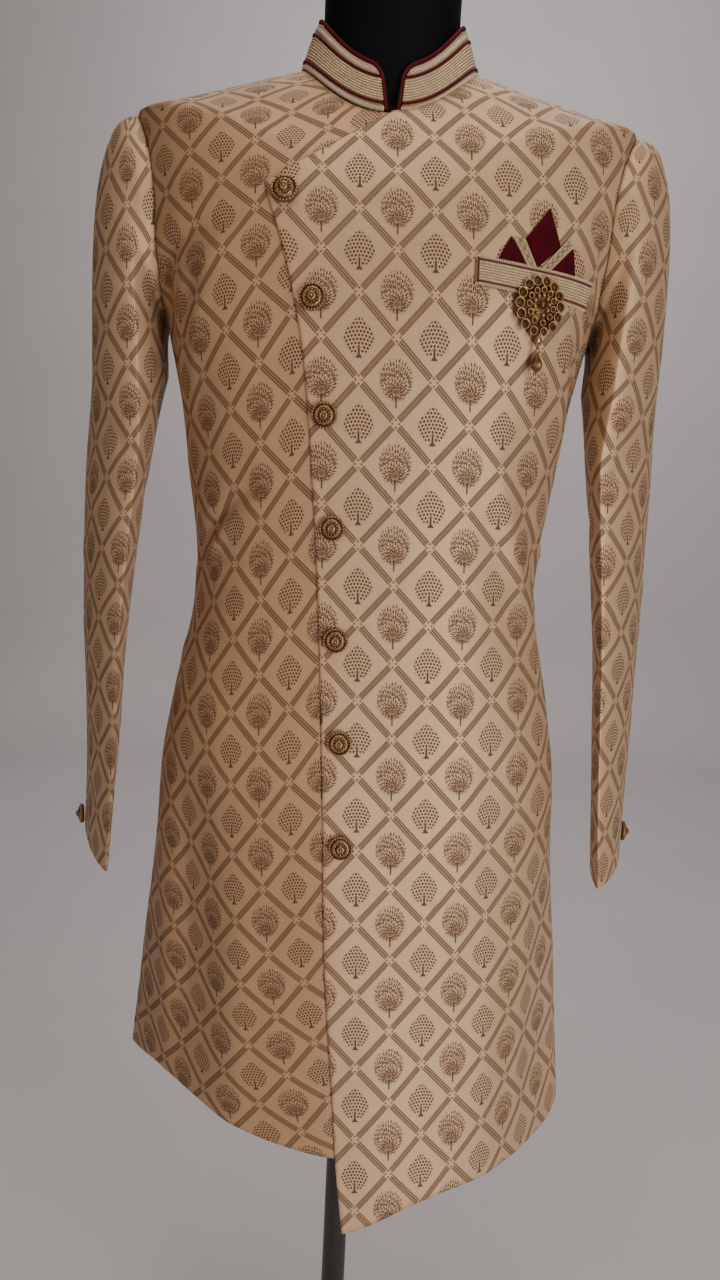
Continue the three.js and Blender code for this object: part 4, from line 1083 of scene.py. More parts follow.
# %% A node tree that lays beads along curves
def bead_tree():
    tree = bpy.data.node_groups.new("beads_along", "GeometryNodeTree")
    for name, flow, kind in (
            ("Geometry", "INPUT", "Geometry"), ("Spacing", "INPUT", "Float"), ("Radius", "INPUT", "Float"),
            ("Length", "INPUT", "Float"), ("Finish", "INPUT", "Material"),
            ("Geometry", "OUTPUT", "Geometry")):
        tree.interface.new_socket(name, in_out=flow, socket_type="NodeSocket" + kind)
    nodes = {name: tree.nodes.new(kind) for name, kind in {
        "given": "NodeGroupInput", "result": "NodeGroupOutput", "curve": "GeometryNodeMeshToCurve",
        "steps": "GeometryNodeResampleCurve", "ball": "GeometryNodeMeshIcoSphere",
        "stretch": "ShaderNodeCombineXYZ", "bead": "GeometryNodeTransform",
        "tangent": "GeometryNodeInputTangent", "align": "FunctionNodeAlignEulerToVector",
        "laid": "GeometryNodeInstanceOnPoints", "real": "GeometryNodeRealizeInstances",
        "smooth": "GeometryNodeSetShadeSmooth", "finish": "GeometryNodeSetMaterial"}.items()}
    nodes["steps"].mode = "LENGTH"
    nodes["align"].axis = "X"
    nodes["ball"].inputs["Subdivisions"].default_value = 1
    for axis in ("Y", "Z"):
        nodes["stretch"].inputs[axis].default_value = 1.0
    for start, leaves, end, enters in (
            ("given", "Geometry", "curve", "Mesh"), ("curve", "Curve", "steps", "Curve"),
            ("given", "Spacing", "steps", "Length"), ("given", "Radius", "ball", "Radius"),
            ("ball", "Mesh", "bead", "Geometry"), ("given", "Length", "stretch", "X"),
            ("stretch", "Vector", "bead", "Scale"), ("steps", "Curve", "laid", "Points"),
            ("bead", "Geometry", "laid", "Instance"), ("tangent", "Tangent", "align", "Vector"),
            ("align", "Rotation", "laid", "Rotation"), ("laid", "Instances", "real", "Geometry"),
            ("real", "Geometry", "smooth", "Geometry"), ("smooth", "Geometry", "finish", "Geometry"),
            ("given", "Finish", "finish", "Material"), ("finish", "Geometry", "result", "Geometry")):
        tree.links.new(nodes[start].outputs[leaves], nodes[end].inputs[enters])
    return tree


BEADS = bead_tree()


def lay_beads(name, paths, spacing, radius, length, finish):
    """Beads along lists of points in millimetres, as one plain mesh of the trim."""
    edges = [(at, at + 1) for at in range(sum(map(len, paths)) - 1)]
    for end in np.cumsum([len(path) for path in paths])[:-1][::-1]:
        del edges[end - 1]
    mesh = bpy.data.meshes.new(name + "_paths")
    mesh.from_pydata((np.concatenate(paths) * MM).tolist(), edges, [])
    carrier = link_piece(name + "_paths", mesh)
    modifier = carrier.modifiers.new("beads", "NODES")
    modifier.node_group = BEADS
    values = {"Spacing": spacing * MM, "Radius": radius * MM, "Length": length, "Finish": finish}
    for item in BEADS.interface.items_tree:
        if item.in_out == "INPUT" and item.name in values:
            modifier[item.identifier] = values[item.name]
    shaped = carrier.evaluated_get(bpy.context.evaluated_depsgraph_get())
    result = bpy.data.meshes.new_from_object(shaped)
    result.name = name
    bpy.data.objects.remove(carrier)
    return finish_piece(link_piece(name, result), [], "trim", [])


def tube(name, path, radius, sides=10, looped=False):
    """A round cord along a path, with rounded ends, or joined to itself."""
    path = np.asarray(path, float)
    ahead = unit(np.roll(path, -1, 0) - np.roll(path, 1, 0)) if looped else unit(np.gradient(path, axis=0))
    side = np.zeros_like(path)
    reference = np.cross(ahead[0], [0, 0, 1.0])
    if np.linalg.norm(reference) < 0.1:
        reference = np.cross(ahead[0], [0, 1.0, 0])
    for at in range(len(path)):
        reference = unit(reference - ahead[at] * (reference @ ahead[at]))
        side[at] = reference
    turns = np.linspace(0, 2 * np.pi, sides + 1)[:-1][None, :, None]
    ring = np.cos(turns) * side[:, None] + np.sin(turns) * np.cross(ahead, side)[:, None]
    points = path[:, None] + radius * ring
    if not looped:
        first, last = [path[end] + sign * ahead[end] * radius * 0.5 + ring[end] * radius * 0.6
                       for end, sign in ((0, -1), (-1, 1))]
        points = np.concatenate([first[None], points, last[None]])
    return turned_out(new_piece(name, points.reshape(-1, 3), ring_faces(len(points), sides, looped)))


def merged(name, pieces):
    """Several pieces of one material as one mesh."""
    shaped = bmesh.new()
    for piece in pieces:
        shaped.from_mesh(piece.data)
        bpy.data.objects.remove(piece)
    return shaped_piece(name, shaped)


# %% [markdown]
# ## Collar
# A low stand collar, open at the front, leans in on the neck. It is a firm band, so it
# keeps its shape; a maroon piping runs up its front edges and along its top.

# %% Collar surface
COLLAR_HEIGHT, COLLAR_WALL, COLLAR_CORNER, COLLAR_RUN = 38.0, 2.4, 9.0, 226.0
GAP_LOW, GAP_HIGH = 7.5, 12           # half the gap between the front ends, below and on top
OFF_MIDDLE, NECK_DEPTH = 3.5, 75      # how far the opening stands to one side
COLLAR_ENDS = {"front": (1451.9, 1488), "side": (1504.7, 1543), "back": (1520.7, 1560),
               "half": (79, 66), "front_depth": (75, 67), "back_depth": (70, 65)}


def collar_point(run, rise, inset):
    run, rise = np.broadcast_arrays(np.asarray(run, float), np.asarray(rise, float))
    share = rise / COLLAR_HEIGHT
    at = {name: low + (high - low) * share for name, (low, high) in COLLAR_ENDS.items()}
    for name in ("half", "front_depth", "back_depth"):
        at[name] = at[name] - inset
    gap = (GAP_LOW + (GAP_HIGH - GAP_LOW) * share) / at["front_depth"]
    angle = gap + (np.pi - gap) * run / COLLAR_RUN
    return ring_point(angle, at["side"], at["front"], at["back"], at["half"], at["front_depth"],
                      at["back_depth"], 2.0, 2.0, SHOULDER_EASE - 1)


def both_sides(left):
    """The wearer's left half and its mirror image, with the opening a little off the middle."""
    whole = np.concatenate([left, left[:-1][::-1] * np.array([-1, 1, 1])])
    whole[..., 0] += OFF_MIDDLE * np.clip(-whole[..., 1] / NECK_DEPTH, 0, 1) ** 3
    return whole


def around_collar(runs, rise, inset):
    return both_sides(collar_point(runs, rise, inset))


def collar_top(run):
    past = np.maximum(0, COLLAR_CORNER - run)
    return COLLAR_HEIGHT - COLLAR_CORNER + np.sqrt(COLLAR_CORNER ** 2 - past ** 2)


CORNER_RUNS = COLLAR_CORNER * (1 - np.cos(np.linspace(0, np.pi / 2, 9)))
LONG_RUNS = np.linspace(COLLAR_CORNER, COLLAR_RUN, 90)[1:]
COLLAR_RUNS = np.concatenate([CORNER_RUNS, LONG_RUNS])
collar_shares = np.linspace(0, 1, 15)
collar_grids = [np.stack([around_collar(COLLAR_RUNS, share * collar_top(COLLAR_RUNS), inset)
                          for share in collar_shares]) for inset in (0, COLLAR_WALL)]
collar_map = np.stack(np.meshgrid(np.linspace(0, 7.4, 2 * len(COLLAR_RUNS) - 1), 0.56 * collar_shares), -1)


def trim_finish():
    trim = Finish("trim_ground")
    place = trim.place()
    tone = trim.noise(place, 900.0, 3.0)
    return trim.surface(Base_Color=trim.blend(tone, (0.20, 0.13, 0.075), (0.40, 0.29, 0.18)),
                        Roughness=0.5 + tone * 0.1, Metallic=0.1, Normal=trim.bump(tone, 0.0002, 0.6))


TRIM = trim_finish()
collar = turned_out(shell_piece("collar_band", *collar_grids, collar_map, rim=0.4))
finish_piece(collar, [TRIM, LINING], "trim", ["collar"])


def collar_run_path(rise, stand):
    runs = COLLAR_RUNS[collar_top(COLLAR_RUNS) > rise + 2.0]
    return around_collar(runs, rise, -stand)


bead_rows = [collar_run_path(rise, 0.35) for rise in np.linspace(10.2, 26.6, 8)]
lay_beads("collar_beads", bead_rows, 1.5, 0.92, 1.05, GOLD_BEAD)
lay_beads("collar_ribs", [collar_run_path(2.1, -1.5)], 1.75, 2.9, 0.32, CREAM_CORD)
lay_beads("collar_head_beads", [collar_run_path(33.6, -1.5)], 1.75, 2.75, 0.32, CREAM_CORD)
for name, rise in (("upper", 29.6), ("lower", 7.1)):
    line_path = collar_run_path(rise, 0.8)
    line = tube(f"collar_cord_{name}", line_path, 1.15, 8)
    print("collar line", name, round(along_path(line_path)[-1]), "mm long")
    finish_piece(line, [MAROON_CORD], "maroon_cord", [f"collar_line_{name}"])

# %% Piping along the collar's open edges
PIPING_OFF = 1.5 + 2 * REST_GAP
CORNER_OUT = COLLAR_CORNER + PIPING_OFF
piping_spots = [(-PIPING_OFF, rise) for rise in np.linspace(1.5, 27, 12)] + [
    (COLLAR_CORNER - CORNER_OUT * math.cos(turn),
     COLLAR_HEIGHT - COLLAR_CORNER + CORNER_OUT * math.sin(turn))
    for turn in np.linspace(0.02, np.pi / 2, 9)] + [(run, COLLAR_HEIGHT + PIPING_OFF) for run in LONG_RUNS]
piping_path = both_sides(np.array([collar_point(*spot, COLLAR_WALL / 2) for spot in piping_spots]))
piping = tube("piping_cord", piping_path, 1.7, 10)
finish_piece(piping, [MAROON_CORD], "maroon_cord", ["collar_piping"])
print("piping", round(along_path(piping_path)[-1]), "mm long")

# %% [markdown]
# ## What lies on the overlap
# The welt, the pocket square and the brooch sit on the chest. Their places are given
# as sideways position and height, and the helper finds the cloth under them.

# %% Places on the overlap
def locate(x, z, widest=1.4, passes=14):
    """Angle and side height of the body's front at this place."""
    x, z = np.broadcast_arrays(np.asarray(x, float), np.asarray(z, float))
    side = z.copy()
    angle = np.zeros_like(side)
    for _ in range(passes):
        angle = bisect(np.full(side.shape, -widest), np.full(side.shape, widest),
                       lambda turn: body_point(turn, side)[..., 0] - x, 26)
        side = side + z - body_point(angle, side)[..., 2]
    return angle, side


def on_overlap(x, z, lift):
    """A point that stands this far off the cloth at this place of the chest."""
    angle, side = locate(x, z)
    flat = body_point(angle, side)
    out = np.asarray(lift + overlap_lift(np.asarray(x, float)) + fold_depth(angle, side))
    return flat + body_normal(angle, side) * out[..., None]


def patch(name, corners, columns, rows, lift, thick, shape=None):
    """A four-cornered piece on the chest: bottom left, bottom right, top right, top left."""
    corners = np.asarray(corners, float)
    along_share, up_share = np.meshgrid(np.linspace(0, 1, columns), np.linspace(0, 1, rows))
    weight = [(1 - along_share) * (1 - up_share), along_share * (1 - up_share),
              along_share * up_share, (1 - along_share) * up_share]
    place = sum(w[..., None] * corner for w, corner in zip(weight, corners))
    swell = shape(along_share, up_share) if shape else 0.0
    outer = on_overlap(place[..., 0], place[..., 1], lift + thick + swell)
    inner = on_overlap(place[..., 0], place[..., 1], lift + swell * 0.9)
    size = [np.linalg.norm(corners[at] - corners[0]) for at in (1, 3)]
    figure = np.stack([along_share * size[0] / 10, up_share * size[1] / 10], -1)
    return turned_out(shell_piece(name, outer, inner, figure, rim=0.35)), size


# %% The welt: ribbed cream edge, bead rows and maroon cords
WELT = [[76, 1309], [173, 1299.5], [177, 1321], [76, 1329.8]]
welt, _ = patch("welt_band", WELT, 46, 11, REST_GAP, 1.9)
finish_piece(welt, [TRIM, TRIM], "trim", ["pocket_welt"])


def welt_row(share, first=0.0, last=1.0, stand=2.7, count=50):
    at = np.linspace(first, last, count)[:, None]
    low, high = [np.array(WELT[start]) * (1 - at) + np.array(WELT[end]) * at
                 for start, end in ((0, 1), (3, 2))]
    place = low * (1 - share) + high * share
    return on_overlap(place[:, 0], place[:, 1], stand)


lay_beads("welt_beads", [welt_row(share, 0.03, 0.99) for share in np.linspace(0.19, 0.81, 7)],
          1.4, 0.86, 1.05, GOLD_BEAD)
lay_beads("welt_ribs", [welt_row(share, 0.0, 1.0, 2.2) for share in (-0.015, 1.015)],
          1.75, 1.15, 0.7, CREAM_CORD)
welt_left = np.array([welt_row(share, 0.012, 1.0, 3.0, 2)[0] for share in np.linspace(0.04, 0.96, 9)])
welt_paths = [welt_row(share, 0.012, 1.0, 2.9) for share in (0.095, 0.905)] + [welt_left]
welt_cords = [tube("cord", path, 0.55, 8) for path in welt_paths]
print("welt cords", [round(along_path(path)[-1]) for path in welt_paths], "mm long")
finish_piece(merged("welt_cords", welt_cords), [MAROON_CORD], "maroon_cord", [])


# %% The satin square, folded to points
def satin_finish():
    satin = Finish("maroon_satin")
    place = satin.place()
    x, _, z = satin.split(place)
    tone = satin.noise(place, 60.0, 3.0, 0.6)
    weave = (x * 9000.0 + z * 2400.0).sine()
    return satin.surface(
        Base_Color=satin.blend(tone, (0.034, 0.001, 0.0045), (0.072, 0.0025, 0.009)),
        Roughness=0.58 + tone * 0.14, Specular_IOR_Level=0.05,
        Normal=satin.bump(tone * 2.0 + weave * 0.4, 0.0002, 0.4))


SATIN = satin_finish()
SATIN_POINTS = [
    ("left", [[93.5, 1329], [117.2, 1327], [104.4, 1348.4], [103.4, 1348.4]]),
    ("middle", [[126.9, 1326.3], [145.9, 1345], [136.1, 1375], [115.9, 1348]]),
    ("right", [[139.4, 1325.1], [160.5, 1323.3], [158, 1344.8], [157.2, 1344.8]])]


def pillow(along_share, up_share):
    """A soft fold: highest along its middle, thin at its edges."""
    return 1.7 * (np.sin(np.pi * along_share) * np.sin(np.pi * np.clip(up_share, 0.04, 0.96))) ** 0.5 \
        + 0.35 * np.sin(7 * along_share + 4 * up_share)


satin_points = []
for name, corners in SATIN_POINTS:
    point, _ = patch(f"satin_point_{name}", corners, 17, 19, REST_GAP, 0.9, pillow)
    satin_points.append(finish_piece(point, [SATIN, SATIN], "satin", [f"pocket_square_{name}"]))


# %% The gold ribbon bands of the square
def ribbon_finish():
    ribbon = Finish("gold_ribbon")
    across, up, _ = ribbon.split(ribbon.node("UVMap", {"uv_map": "cloth"}))
    middle = across - 0.38
    edge = ribbon.less(abs(middle), 0.25, 0.03)
    weave = (across * 95.0).sine() * (up * 80.0).sine()
    leaf = (middle * 12.0).cosine() * (up * 9.0).sine()
    pattern = ribbon.less(0.0 - leaf, 0.1, 0.3) * edge
    return ribbon.surface(
        Base_Color=ribbon.blend(pattern * 0.8 + weave * 0.1, (0.42, 0.31, 0.19), (0.13, 0.065, 0.03)),
        Roughness=0.42, Metallic=pattern * 0.3, Normal=ribbon.bump(pattern + weave * 0.4, 0.0002, 0.6))


RIBBON = ribbon_finish()
RIBBON_BANDS = [
    ("left", [[118.4, 1326.9], [126.1, 1326.3], [115.2, 1348], [105.3, 1348.6]]),
    ("right", [[130.4, 1326], [137.6, 1325.4], [156.3, 1347.4], [152.6, 1351.6]])]
ribbon_bands = []
for name, corners in RIBBON_BANDS:
    band, size = patch(f"ribbon_band_{name}", corners, 9, 17, REST_GAP + 0.5, 0.9)
    ribbon_bands.append((finish_piece(band, [RIBBON, RIBBON], "trim", [f"pocket_band_{name}"]), size))

# %% [markdown]
# ## Buttons
# Cast buttons in an antique gold: a beaded rim, a ring of petals and a raised knob. The
# metal is dark in its hollows and bright where it is touched.

# %% Antique gold
def antique_gold(name, dark, bright):
    gold = Finish(name)
    place = gold.place()
    worn = gold.noise(place, 700.0, 4.0, 0.6)
    patina = gold.noise(place, 180.0, 2.0)
    height = gold.node("Attribute", {"attribute_name": "relief"}, output=2)
    mix = height * 0.8 + worn * 0.5 - patina * 0.3
    return gold.surface(Base_Color=gold.blend(mix, dark, bright),
                        Roughness=0.42 - height * 0.16 + patina * 0.12, Metallic=0.9,
                        Normal=gold.bump(worn, 0.00008, 0.5))


BRONZE = antique_gold("antique_bronze", (0.012, 0.0045, 0.002), (0.52, 0.31, 0.16))
GOLD = antique_gold("antique_gold", (0.008, 0.0025, 0.001), (0.46, 0.255, 0.115))


def with_relief(piece, value):
    """Marks how far each point stands out: 0 in a hollow, 1 on a high place."""
    layer = piece.data.attributes.new("relief", "FLOAT", "POINT")
    layer.data.foreach_set("value", np.broadcast_to(value, len(piece.data.vertices)).astype(np.float32))
    return piece


def turned_piece(name, profile, sides, wave=None):
    """A piece turned round +Z from (radius, height, relief) rows, pinched by a wave."""
    turns = np.linspace(0, 2 * np.pi, sides + 1)[:-1]
    points, relief = [], []
    for radius, height, mark in profile:
        share = 1 + (wave(turns, radius) if wave else 0 * turns)
        points += [[max(radius, 0.01) * r * math.cos(t), max(radius, 0.01) * r * math.sin(t), height]
                   for t, r in zip(turns, share)]
        relief += [mark] * sides
    return with_relief(turned_out(new_piece(name, points, ring_faces(len(profile), sides))), relief)


def ball(name, centre, radius, squash=(1, 1, 1), relief=0.9, detail=2):
    shaped = bmesh.new()
    bmesh.ops.create_icosphere(shaped, subdivisions=detail, radius=radius * MM)
    for vertex in shaped.verts:
        vertex.co = Vector([vertex.co[axis] * squash[axis] + centre[axis] * MM for axis in range(3)])
    return with_relief(smooth_piece(shaped_piece(name, shaped)), relief)


def spots_round(count, radius, height):
    """Evenly spaced places on a circle."""
    return [(radius * math.cos(turn), radius * math.sin(turn), height)
            for turn in [2 * math.pi * at / count for at in range(count)]]


def set_piece(piece, at, out, up=(0, 0, 1)):
    """Stands a piece that faces +Z on a place, facing this way, and keeps it in its mesh."""
    out = Vector(out).normalized()
    right = Vector(up).cross(out).normalized()
    upright = out.cross(right)
    turn = Matrix((right, upright, out)).transposed().to_4x4()
    piece.data.transform(Matrix.Translation(Vector(at) * MM) @ turn)
    return piece


# The cast plate, in shares of the button's radius: (radius, height, relief).
BUTTON_ROWS = [
    (0.78, 0.0, 0.1), (0.94, 0.10, 0.2), (1.0, 0.24, 0.4), (0.97, 0.36, 0.5), (0.90, 0.38, 0.1),
    (0.84, 0.32, 0.0), (0.77, 0.34, 0.1), (0.70, 0.50, 0.6), (0.62, 0.57, 0.7), (0.53, 0.56, 0.2),
    (0.46, 0.50, 0.0), (0.38, 0.54, 0.2), (0.33, 0.70, 0.5), (0.26, 0.80, 0.9), (0.17, 0.80, 0.4),
    (0.12, 0.74, 0.0)]


def button_piece(name, r):
    plate = turned_piece(
        "plate", [(r * out, r * height, mark) for out, height, mark in BUTTON_ROWS], 72,
        lambda turns, out: 0.02 * np.cos(turns * 24) * (out > r * 0.93)
        + 0.045 * np.cos(turns * 12) * ((out > r * 0.5) & (out < r * 0.75)))
    knob = ball("knob", (0, 0, r * 0.76), r * 0.13, (1, 1, 0.9), 0.6, 3)
    rim = [ball("bead", spot, r * 0.085, relief=1.0) for spot in spots_round(24, r * 0.91, r * 0.37)]
    petals = [ball("petal", spot, r * 0.075, relief=0.8) for spot in spots_round(12, r * 0.46, r * 0.53)]
    return merged(name, [plate, knob, *rim, *petals])


BUTTONS = [(-80.5, 1376), (-54, 1292), (-41, 1201), (-31, 1108), (-24, 1011), (-17, 920), (-11.5, 826)]
BUTTON_RADIUS = 11.0
CUFF_BUTTON_RADIUS = BUTTON_RADIUS * 0.92
for number, (x, z) in enumerate(BUTTONS, 1):
    angle, side = locate(x, z)
    at = on_overlap(x, z, REST_GAP)
    button = set_piece(button_piece(f"gold_button_{number}", BUTTON_RADIUS), at,
                       body_normal(angle, side))
    finish_piece(button, [BRONZE], "antique_gold", [f"button_{number}"])

CUFF_BUTTON_TURN, CUFF_BUTTON_OFF = math.radians(-38), 0.9
for side_name, mirror in (("left", 1), ("right", -1)):
    at, beside = [sleeve_point(CUFF_BUTTON_TURN + step, 782 + 4 * mirror, 0, mirror) for step in (0, 0.1)]
    out = -unit(np.array([beside[1] - at[1], at[0] - beside[0], 0.0]))
    at = (at + out * CUFF_BUTTON_OFF) * np.array([mirror, 1, 1])
    out = out * np.array([mirror, 1, 1])
    button = set_piece(button_piece(f"gold_cuff_button_{side_name}", CUFF_BUTTON_RADIUS), at, out)
    finish_piece(button, [BRONZE], "antique_gold", [f"cuff_button_{side_name}"])

# %% [markdown]
# ## Brooch
# A teardrop of little wire rings round two rows of petals and a domed middle. It stands
# plumb on the chest. A bell bead hangs from a peg below it, so the drop swings there.

# %% The brooch's own frame
BROOCH_AT, PEG_Y = (129.5, 1297.0), -28.2
DROP_OFF = 2.7      # the drop's ring hangs this far in front of the brooch's back
brooch_angle, brooch_side = locate(*BROOCH_AT)
BROOCH_OUT = unit(body_normal(brooch_angle, brooch_side) * np.array([1, 1, 0]))
BROOCH_SEAT = on_overlap(*BROOCH_AT, 0.0) + BROOCH_OUT * (REST_GAP + SEAM_GAP + 2.0)


def teardrop(turn, size=1.0):
    """Outline of the brooch: a circle with a point below."""
    radius = (19.0 + 5.5 * max(0.0, -math.sin(turn)) ** 4) * size
    return radius * math.cos(turn), radius * math.sin(turn)


def wire_ring(centre, radius, wire, height, relief=0.8, sides=14, tilt=None):
    turns = np.linspace(0, 2 * np.pi, sides + 1)[:-1]
    path = np.stack([centre[0] + radius * np.cos(turns), centre[1] + radius * np.sin(turns),
                     np.full(sides, height)], 1)
    if tilt is not None:
        middle = np.array([centre[0], centre[1], height])
        path = (path - middle) @ np.array(Matrix.Rotation(tilt, 3, "Y")).T + middle
    return with_relief(tube("ring", path, wire, 6, looped=True), relief)


# The back plate: share of the outline, height, relief.
BACK_ROWS = [(0.96, 0.0, 0.1), (1.0, 0.5, 0.1), (0.98, 1.1, 0.1), (0.72, 1.7, 0.0), (0.5, 2.6, 0.1),
             (0.3, 3.6, 0.3), (0.1, 4.0, 0.4)]


def brooch_back():
    sides = 72
    outline = np.array([teardrop(turn, 0.93) for turn in np.linspace(0, 2 * np.pi, sides + 1)[:-1]])
    points = np.concatenate([np.column_stack([outline * share, np.full(sides, height)])
                             for share, height, _ in BACK_ROWS])
    relief = np.repeat([mark for _, _, mark in BACK_ROWS], sides)
    return with_relief(turned_out(new_piece("back", points, ring_faces(len(BACK_ROWS), sides))), relief)


def brooch_piece():
    parts = [brooch_back()]
    for at in range(14):
        turn = 2 * math.pi * (at + 0.5) / 14 - math.pi / 2
        low = max(0.0, -math.sin(turn)) ** 8
        x, y = teardrop(turn, 1.0 - 0.13 * low)
        parts.append(wire_ring((x, y), 3.9 - 0.8 * low, 0.62, 2.4, 1.0, sides=18))
        parts.append(wire_ring((x, y), 2.3 - 0.5 * low, 0.34, 2.7, 0.15))
        parts.append(ball("cup", (x, y, 1.5), 3.5 - 0.8 * low, (1, 1, 0.4), 0.0))
    for at in range(11):
        x, y = teardrop(2 * math.pi * at / 11 + 0.3, 0.60)
        parts.append(wire_ring((x, y), 2.3, 0.52, 4.0, 1.0))
        parts.append(ball("seed", (x, y, 3.4), 1.5, relief=0.1))
    for at in range(9):
        x, y = teardrop(2 * math.pi * at / 9, 0.36)
        parts.append(ball("petal", (x, y, 4.9), 1.7, (1, 1, 0.9), 1.0))
    parts.append(ball("crown", (0, 0, 5.2), 4.3, (1, 1, 0.75), 0.1, 3))
    parts += [ball("crown_bead", spot, 0.62) for spot in spots_round(14, 4.5, 5.6)]
    parts.append(turned_piece("lug", [(2.5, 0.0, 0.3), (2.8, 0.4, 0.5), (2.8, 1.3, 0.6),
                                      (2.3, 1.6, 0.6)], 24))
    parts.append(turned_piece("peg", [(1.6, 0.8, 0.3), (1.6, 3.8, 0.3), (2.5, 3.85, 0.5), (2.7, 4.2, 0.9),
                                      (2.1, 4.65, 1.0), (0.8, 4.85, 1.0)], 24))
    for part in parts[-2:]:
        part.data.transform(Matrix.Translation((0, PEG_Y * MM, 0)))
    neck = tube("neck", [(0, -23.5, 0.9), (0, -25.5, 0.9), (0, -27.5, 0.8)], 1.1, 10)
    parts.append(with_relief(neck, 0.5))
    return merged("brooch_filigree", parts)


brooch = set_piece(brooch_piece(), BROOCH_SEAT, BROOCH_OUT)
finish_piece(brooch, [GOLD], "antique_gold", ["brooch"])

# %% The drop that swings on the peg
BELL_ROWS = [(0.3, -28.0, 0.9), (0.9, -27.4, 0.9), (1.0, -26.4, 0.4), (1.0, -25.4, 0.2), (1.7, -24.4, 0.6),
             (3.1, -23.4, 0.4), (4.1, -21.8, 0.5), (4.5, -20.0, 0.8), (4.3, -18.2, 0.5), (3.7, -16.4, 0.3),
             (2.8, -14.6, 0.3), (2.0, -13.0, 0.5), (1.5, -11.6, 0.3), (1.1, -10.2, 0.5), (0.4, -9.5, 0.5)]


def drop_piece():
    bead = turned_piece("bell", BELL_ROWS, 40, lambda turns, out: 0.055 * np.cos(turns * 10) * (out > 1.5))
    bead.data.transform(Matrix.Rotation(-math.pi / 2, 4, "X"))
    parts = [wire_ring((0, 0), 2.7, 0.6, 0.0, sides=28),
             wire_ring((0, -5.3), 1.6, 0.5, 0.0, sides=18, tilt=math.pi / 2),
             wire_ring((0, -8.6), 1.5, 0.5, 0.0, sides=18), bead]
    parts += [ball("girdle", (x, -20.2, z), 0.6, relief=1.0, detail=1)
              for x, z, _ in spots_round(10, 4.4, 0)]
    drop = merged("drop_chain", parts)
    drop.data.transform(Matrix.Translation((0, PEG_Y * MM, DROP_OFF * MM)))
    return drop


drop = set_piece(drop_piece(), BROOCH_SEAT, BROOCH_OUT)
finish_piece(drop, [GOLD], "antique_gold", ["brooch_drop"], body="drop")

# %% [markdown]
# ## Form and stand
# The limbless form is a smooth moulded torso with a tall neck, in a black stretch cover.
# It stands on a steel pole in a heavy round base.

# %% The form follows the body surface, a little behind the cloth
FORM_INSETS = SmoothTable([[800, 14], [900, 11], [1060, 9], [1285, 11], [1420, 9], [1461, 6],
                           [1472, 3.6], [1484, 3], [1504, 5]])
NECK_ROWS = SmoothTable([
    [0, 1460, 1508, 1521, 63.5], [1, 1492, 1528, 1538, 60.5], [2, 1560, 1562, 1564, 60.5],
    [3, 1592, 1593, 1594, 60.5], [3.6, 1597, 1597, 1597.2, 59], [4, 1598, 1598, 1598, 56.5]])
FORM_FOOT = 800.0


def form_piece():
    turns = np.linspace(0, 2 * np.pi, 121)[:-1]
    levels = np.concatenate([np.linspace(806, 1440, 60), np.linspace(1446, 1502, 14)])
    foot = np.array([0, 0, FORM_FOOT])
    rows = [body_point(turns, FORM_FOOT) * np.array([0.90, 0.90, 0]) + foot,
            body_point(turns, FORM_FOOT + 2) * np.array([0.915, 0.90, 0]) + foot + np.array([0, 0, 1])]
    rows += [body_point(turns, level) - body_normal(turns, level) * FORM_INSETS.read(1, level)
             for level in levels]
    for share in np.linspace(0, 4, 26):
        front, side, back, radius = [float(NECK_ROWS.read(column, share)) for column in range(1, 5)]
        rows.append(ring_point(turns, side, front, back, radius, radius, radius, 2.0, 2.0))
    for inner in (0.8, 0.45, 0.1):
        rows.append(rows[-1] * np.array([inner, inner, 1]) + np.array([0, 0, 0.25]))
    return turned_out(new_piece("form_cover", np.concatenate(rows), ring_faces(len(rows), len(turns))))


def cover_finish():
    cover = Finish("black_cover")
    place = cover.place()
    x, y, z = cover.split(place)
    knit = (z * 3600.0).sine() * (x * 3900.0 + y * 3100.0).sine()
    tone = cover.noise(place, 18.0, 3.0)
    return cover.surface(Base_Color=cover.blend(tone, (0.002, 0.002, 0.0035), (0.005, 0.005, 0.0075)),
                         Roughness=0.55 + tone * 0.2, Specular_IOR_Level=0.07,
                         Normal=cover.bump(knit + tone * 2.0, 0.0001, 0.35))


finish_piece(form_piece(), [cover_finish()], "form_black", ["form_torso"])


# %% Pole and base
def steel_finish():
    steel = Finish("black_steel")
    place = steel.place()
    scuff = steel.noise(place, 30.0, 4.0, 0.65)
    fine = steel.noise(place, 900.0, 2.0)
    return steel.surface(Base_Color=steel.blend(scuff, (0.006, 0.006, 0.007), (0.018, 0.017, 0.017)),
                         Roughness=0.30 + scuff * 0.28, Coat_Weight=0.15, Coat_Roughness=0.25,
                         Normal=steel.bump(fine, 0.00005, 0.4))


STEEL = steel_finish()
pole = turned_piece("stand_tube", [(11.7, 8.3, 0), (12.7, 9.3, 0), (12.7, 300, 0), (12.7, 600, 0),
                                   (12.7, 799.2, 0), (12.2, 799.7, 0)], 64)
finish_piece(pole, [STEEL], "stand_black", ["stand_pole"])
base = turned_piece("stand_foot", [
    (13.0, 8.0, 0), (13.0, 45.4, 0), (13.6, 46.0, 0), (18.4, 46.0, 0), (19.0, 45.2, 0), (21.5, 30.0, 0),
    (24.6, 20.6, 0), (27.5, 18.9, 0), (60, 18.4, 0), (120, 17.4, 0), (180, 16.2, 0), (185.5, 15.4, 0),
    (188.8, 13.2, 0), (190, 10.0, 0), (190, 3.0, 0), (189.1, 0.9, 0), (187, 0.0, 0), (60, 0.0, 0)], 120)
finish_piece(base, [STEEL], "stand_black", ["stand_base"])

# %% [markdown]
# ## The cloth, declared
# Each panel is one sheet. Its flat size is read from the same map that places the
# figure, and its area is the cut itself, without the corners that a maker throws away.

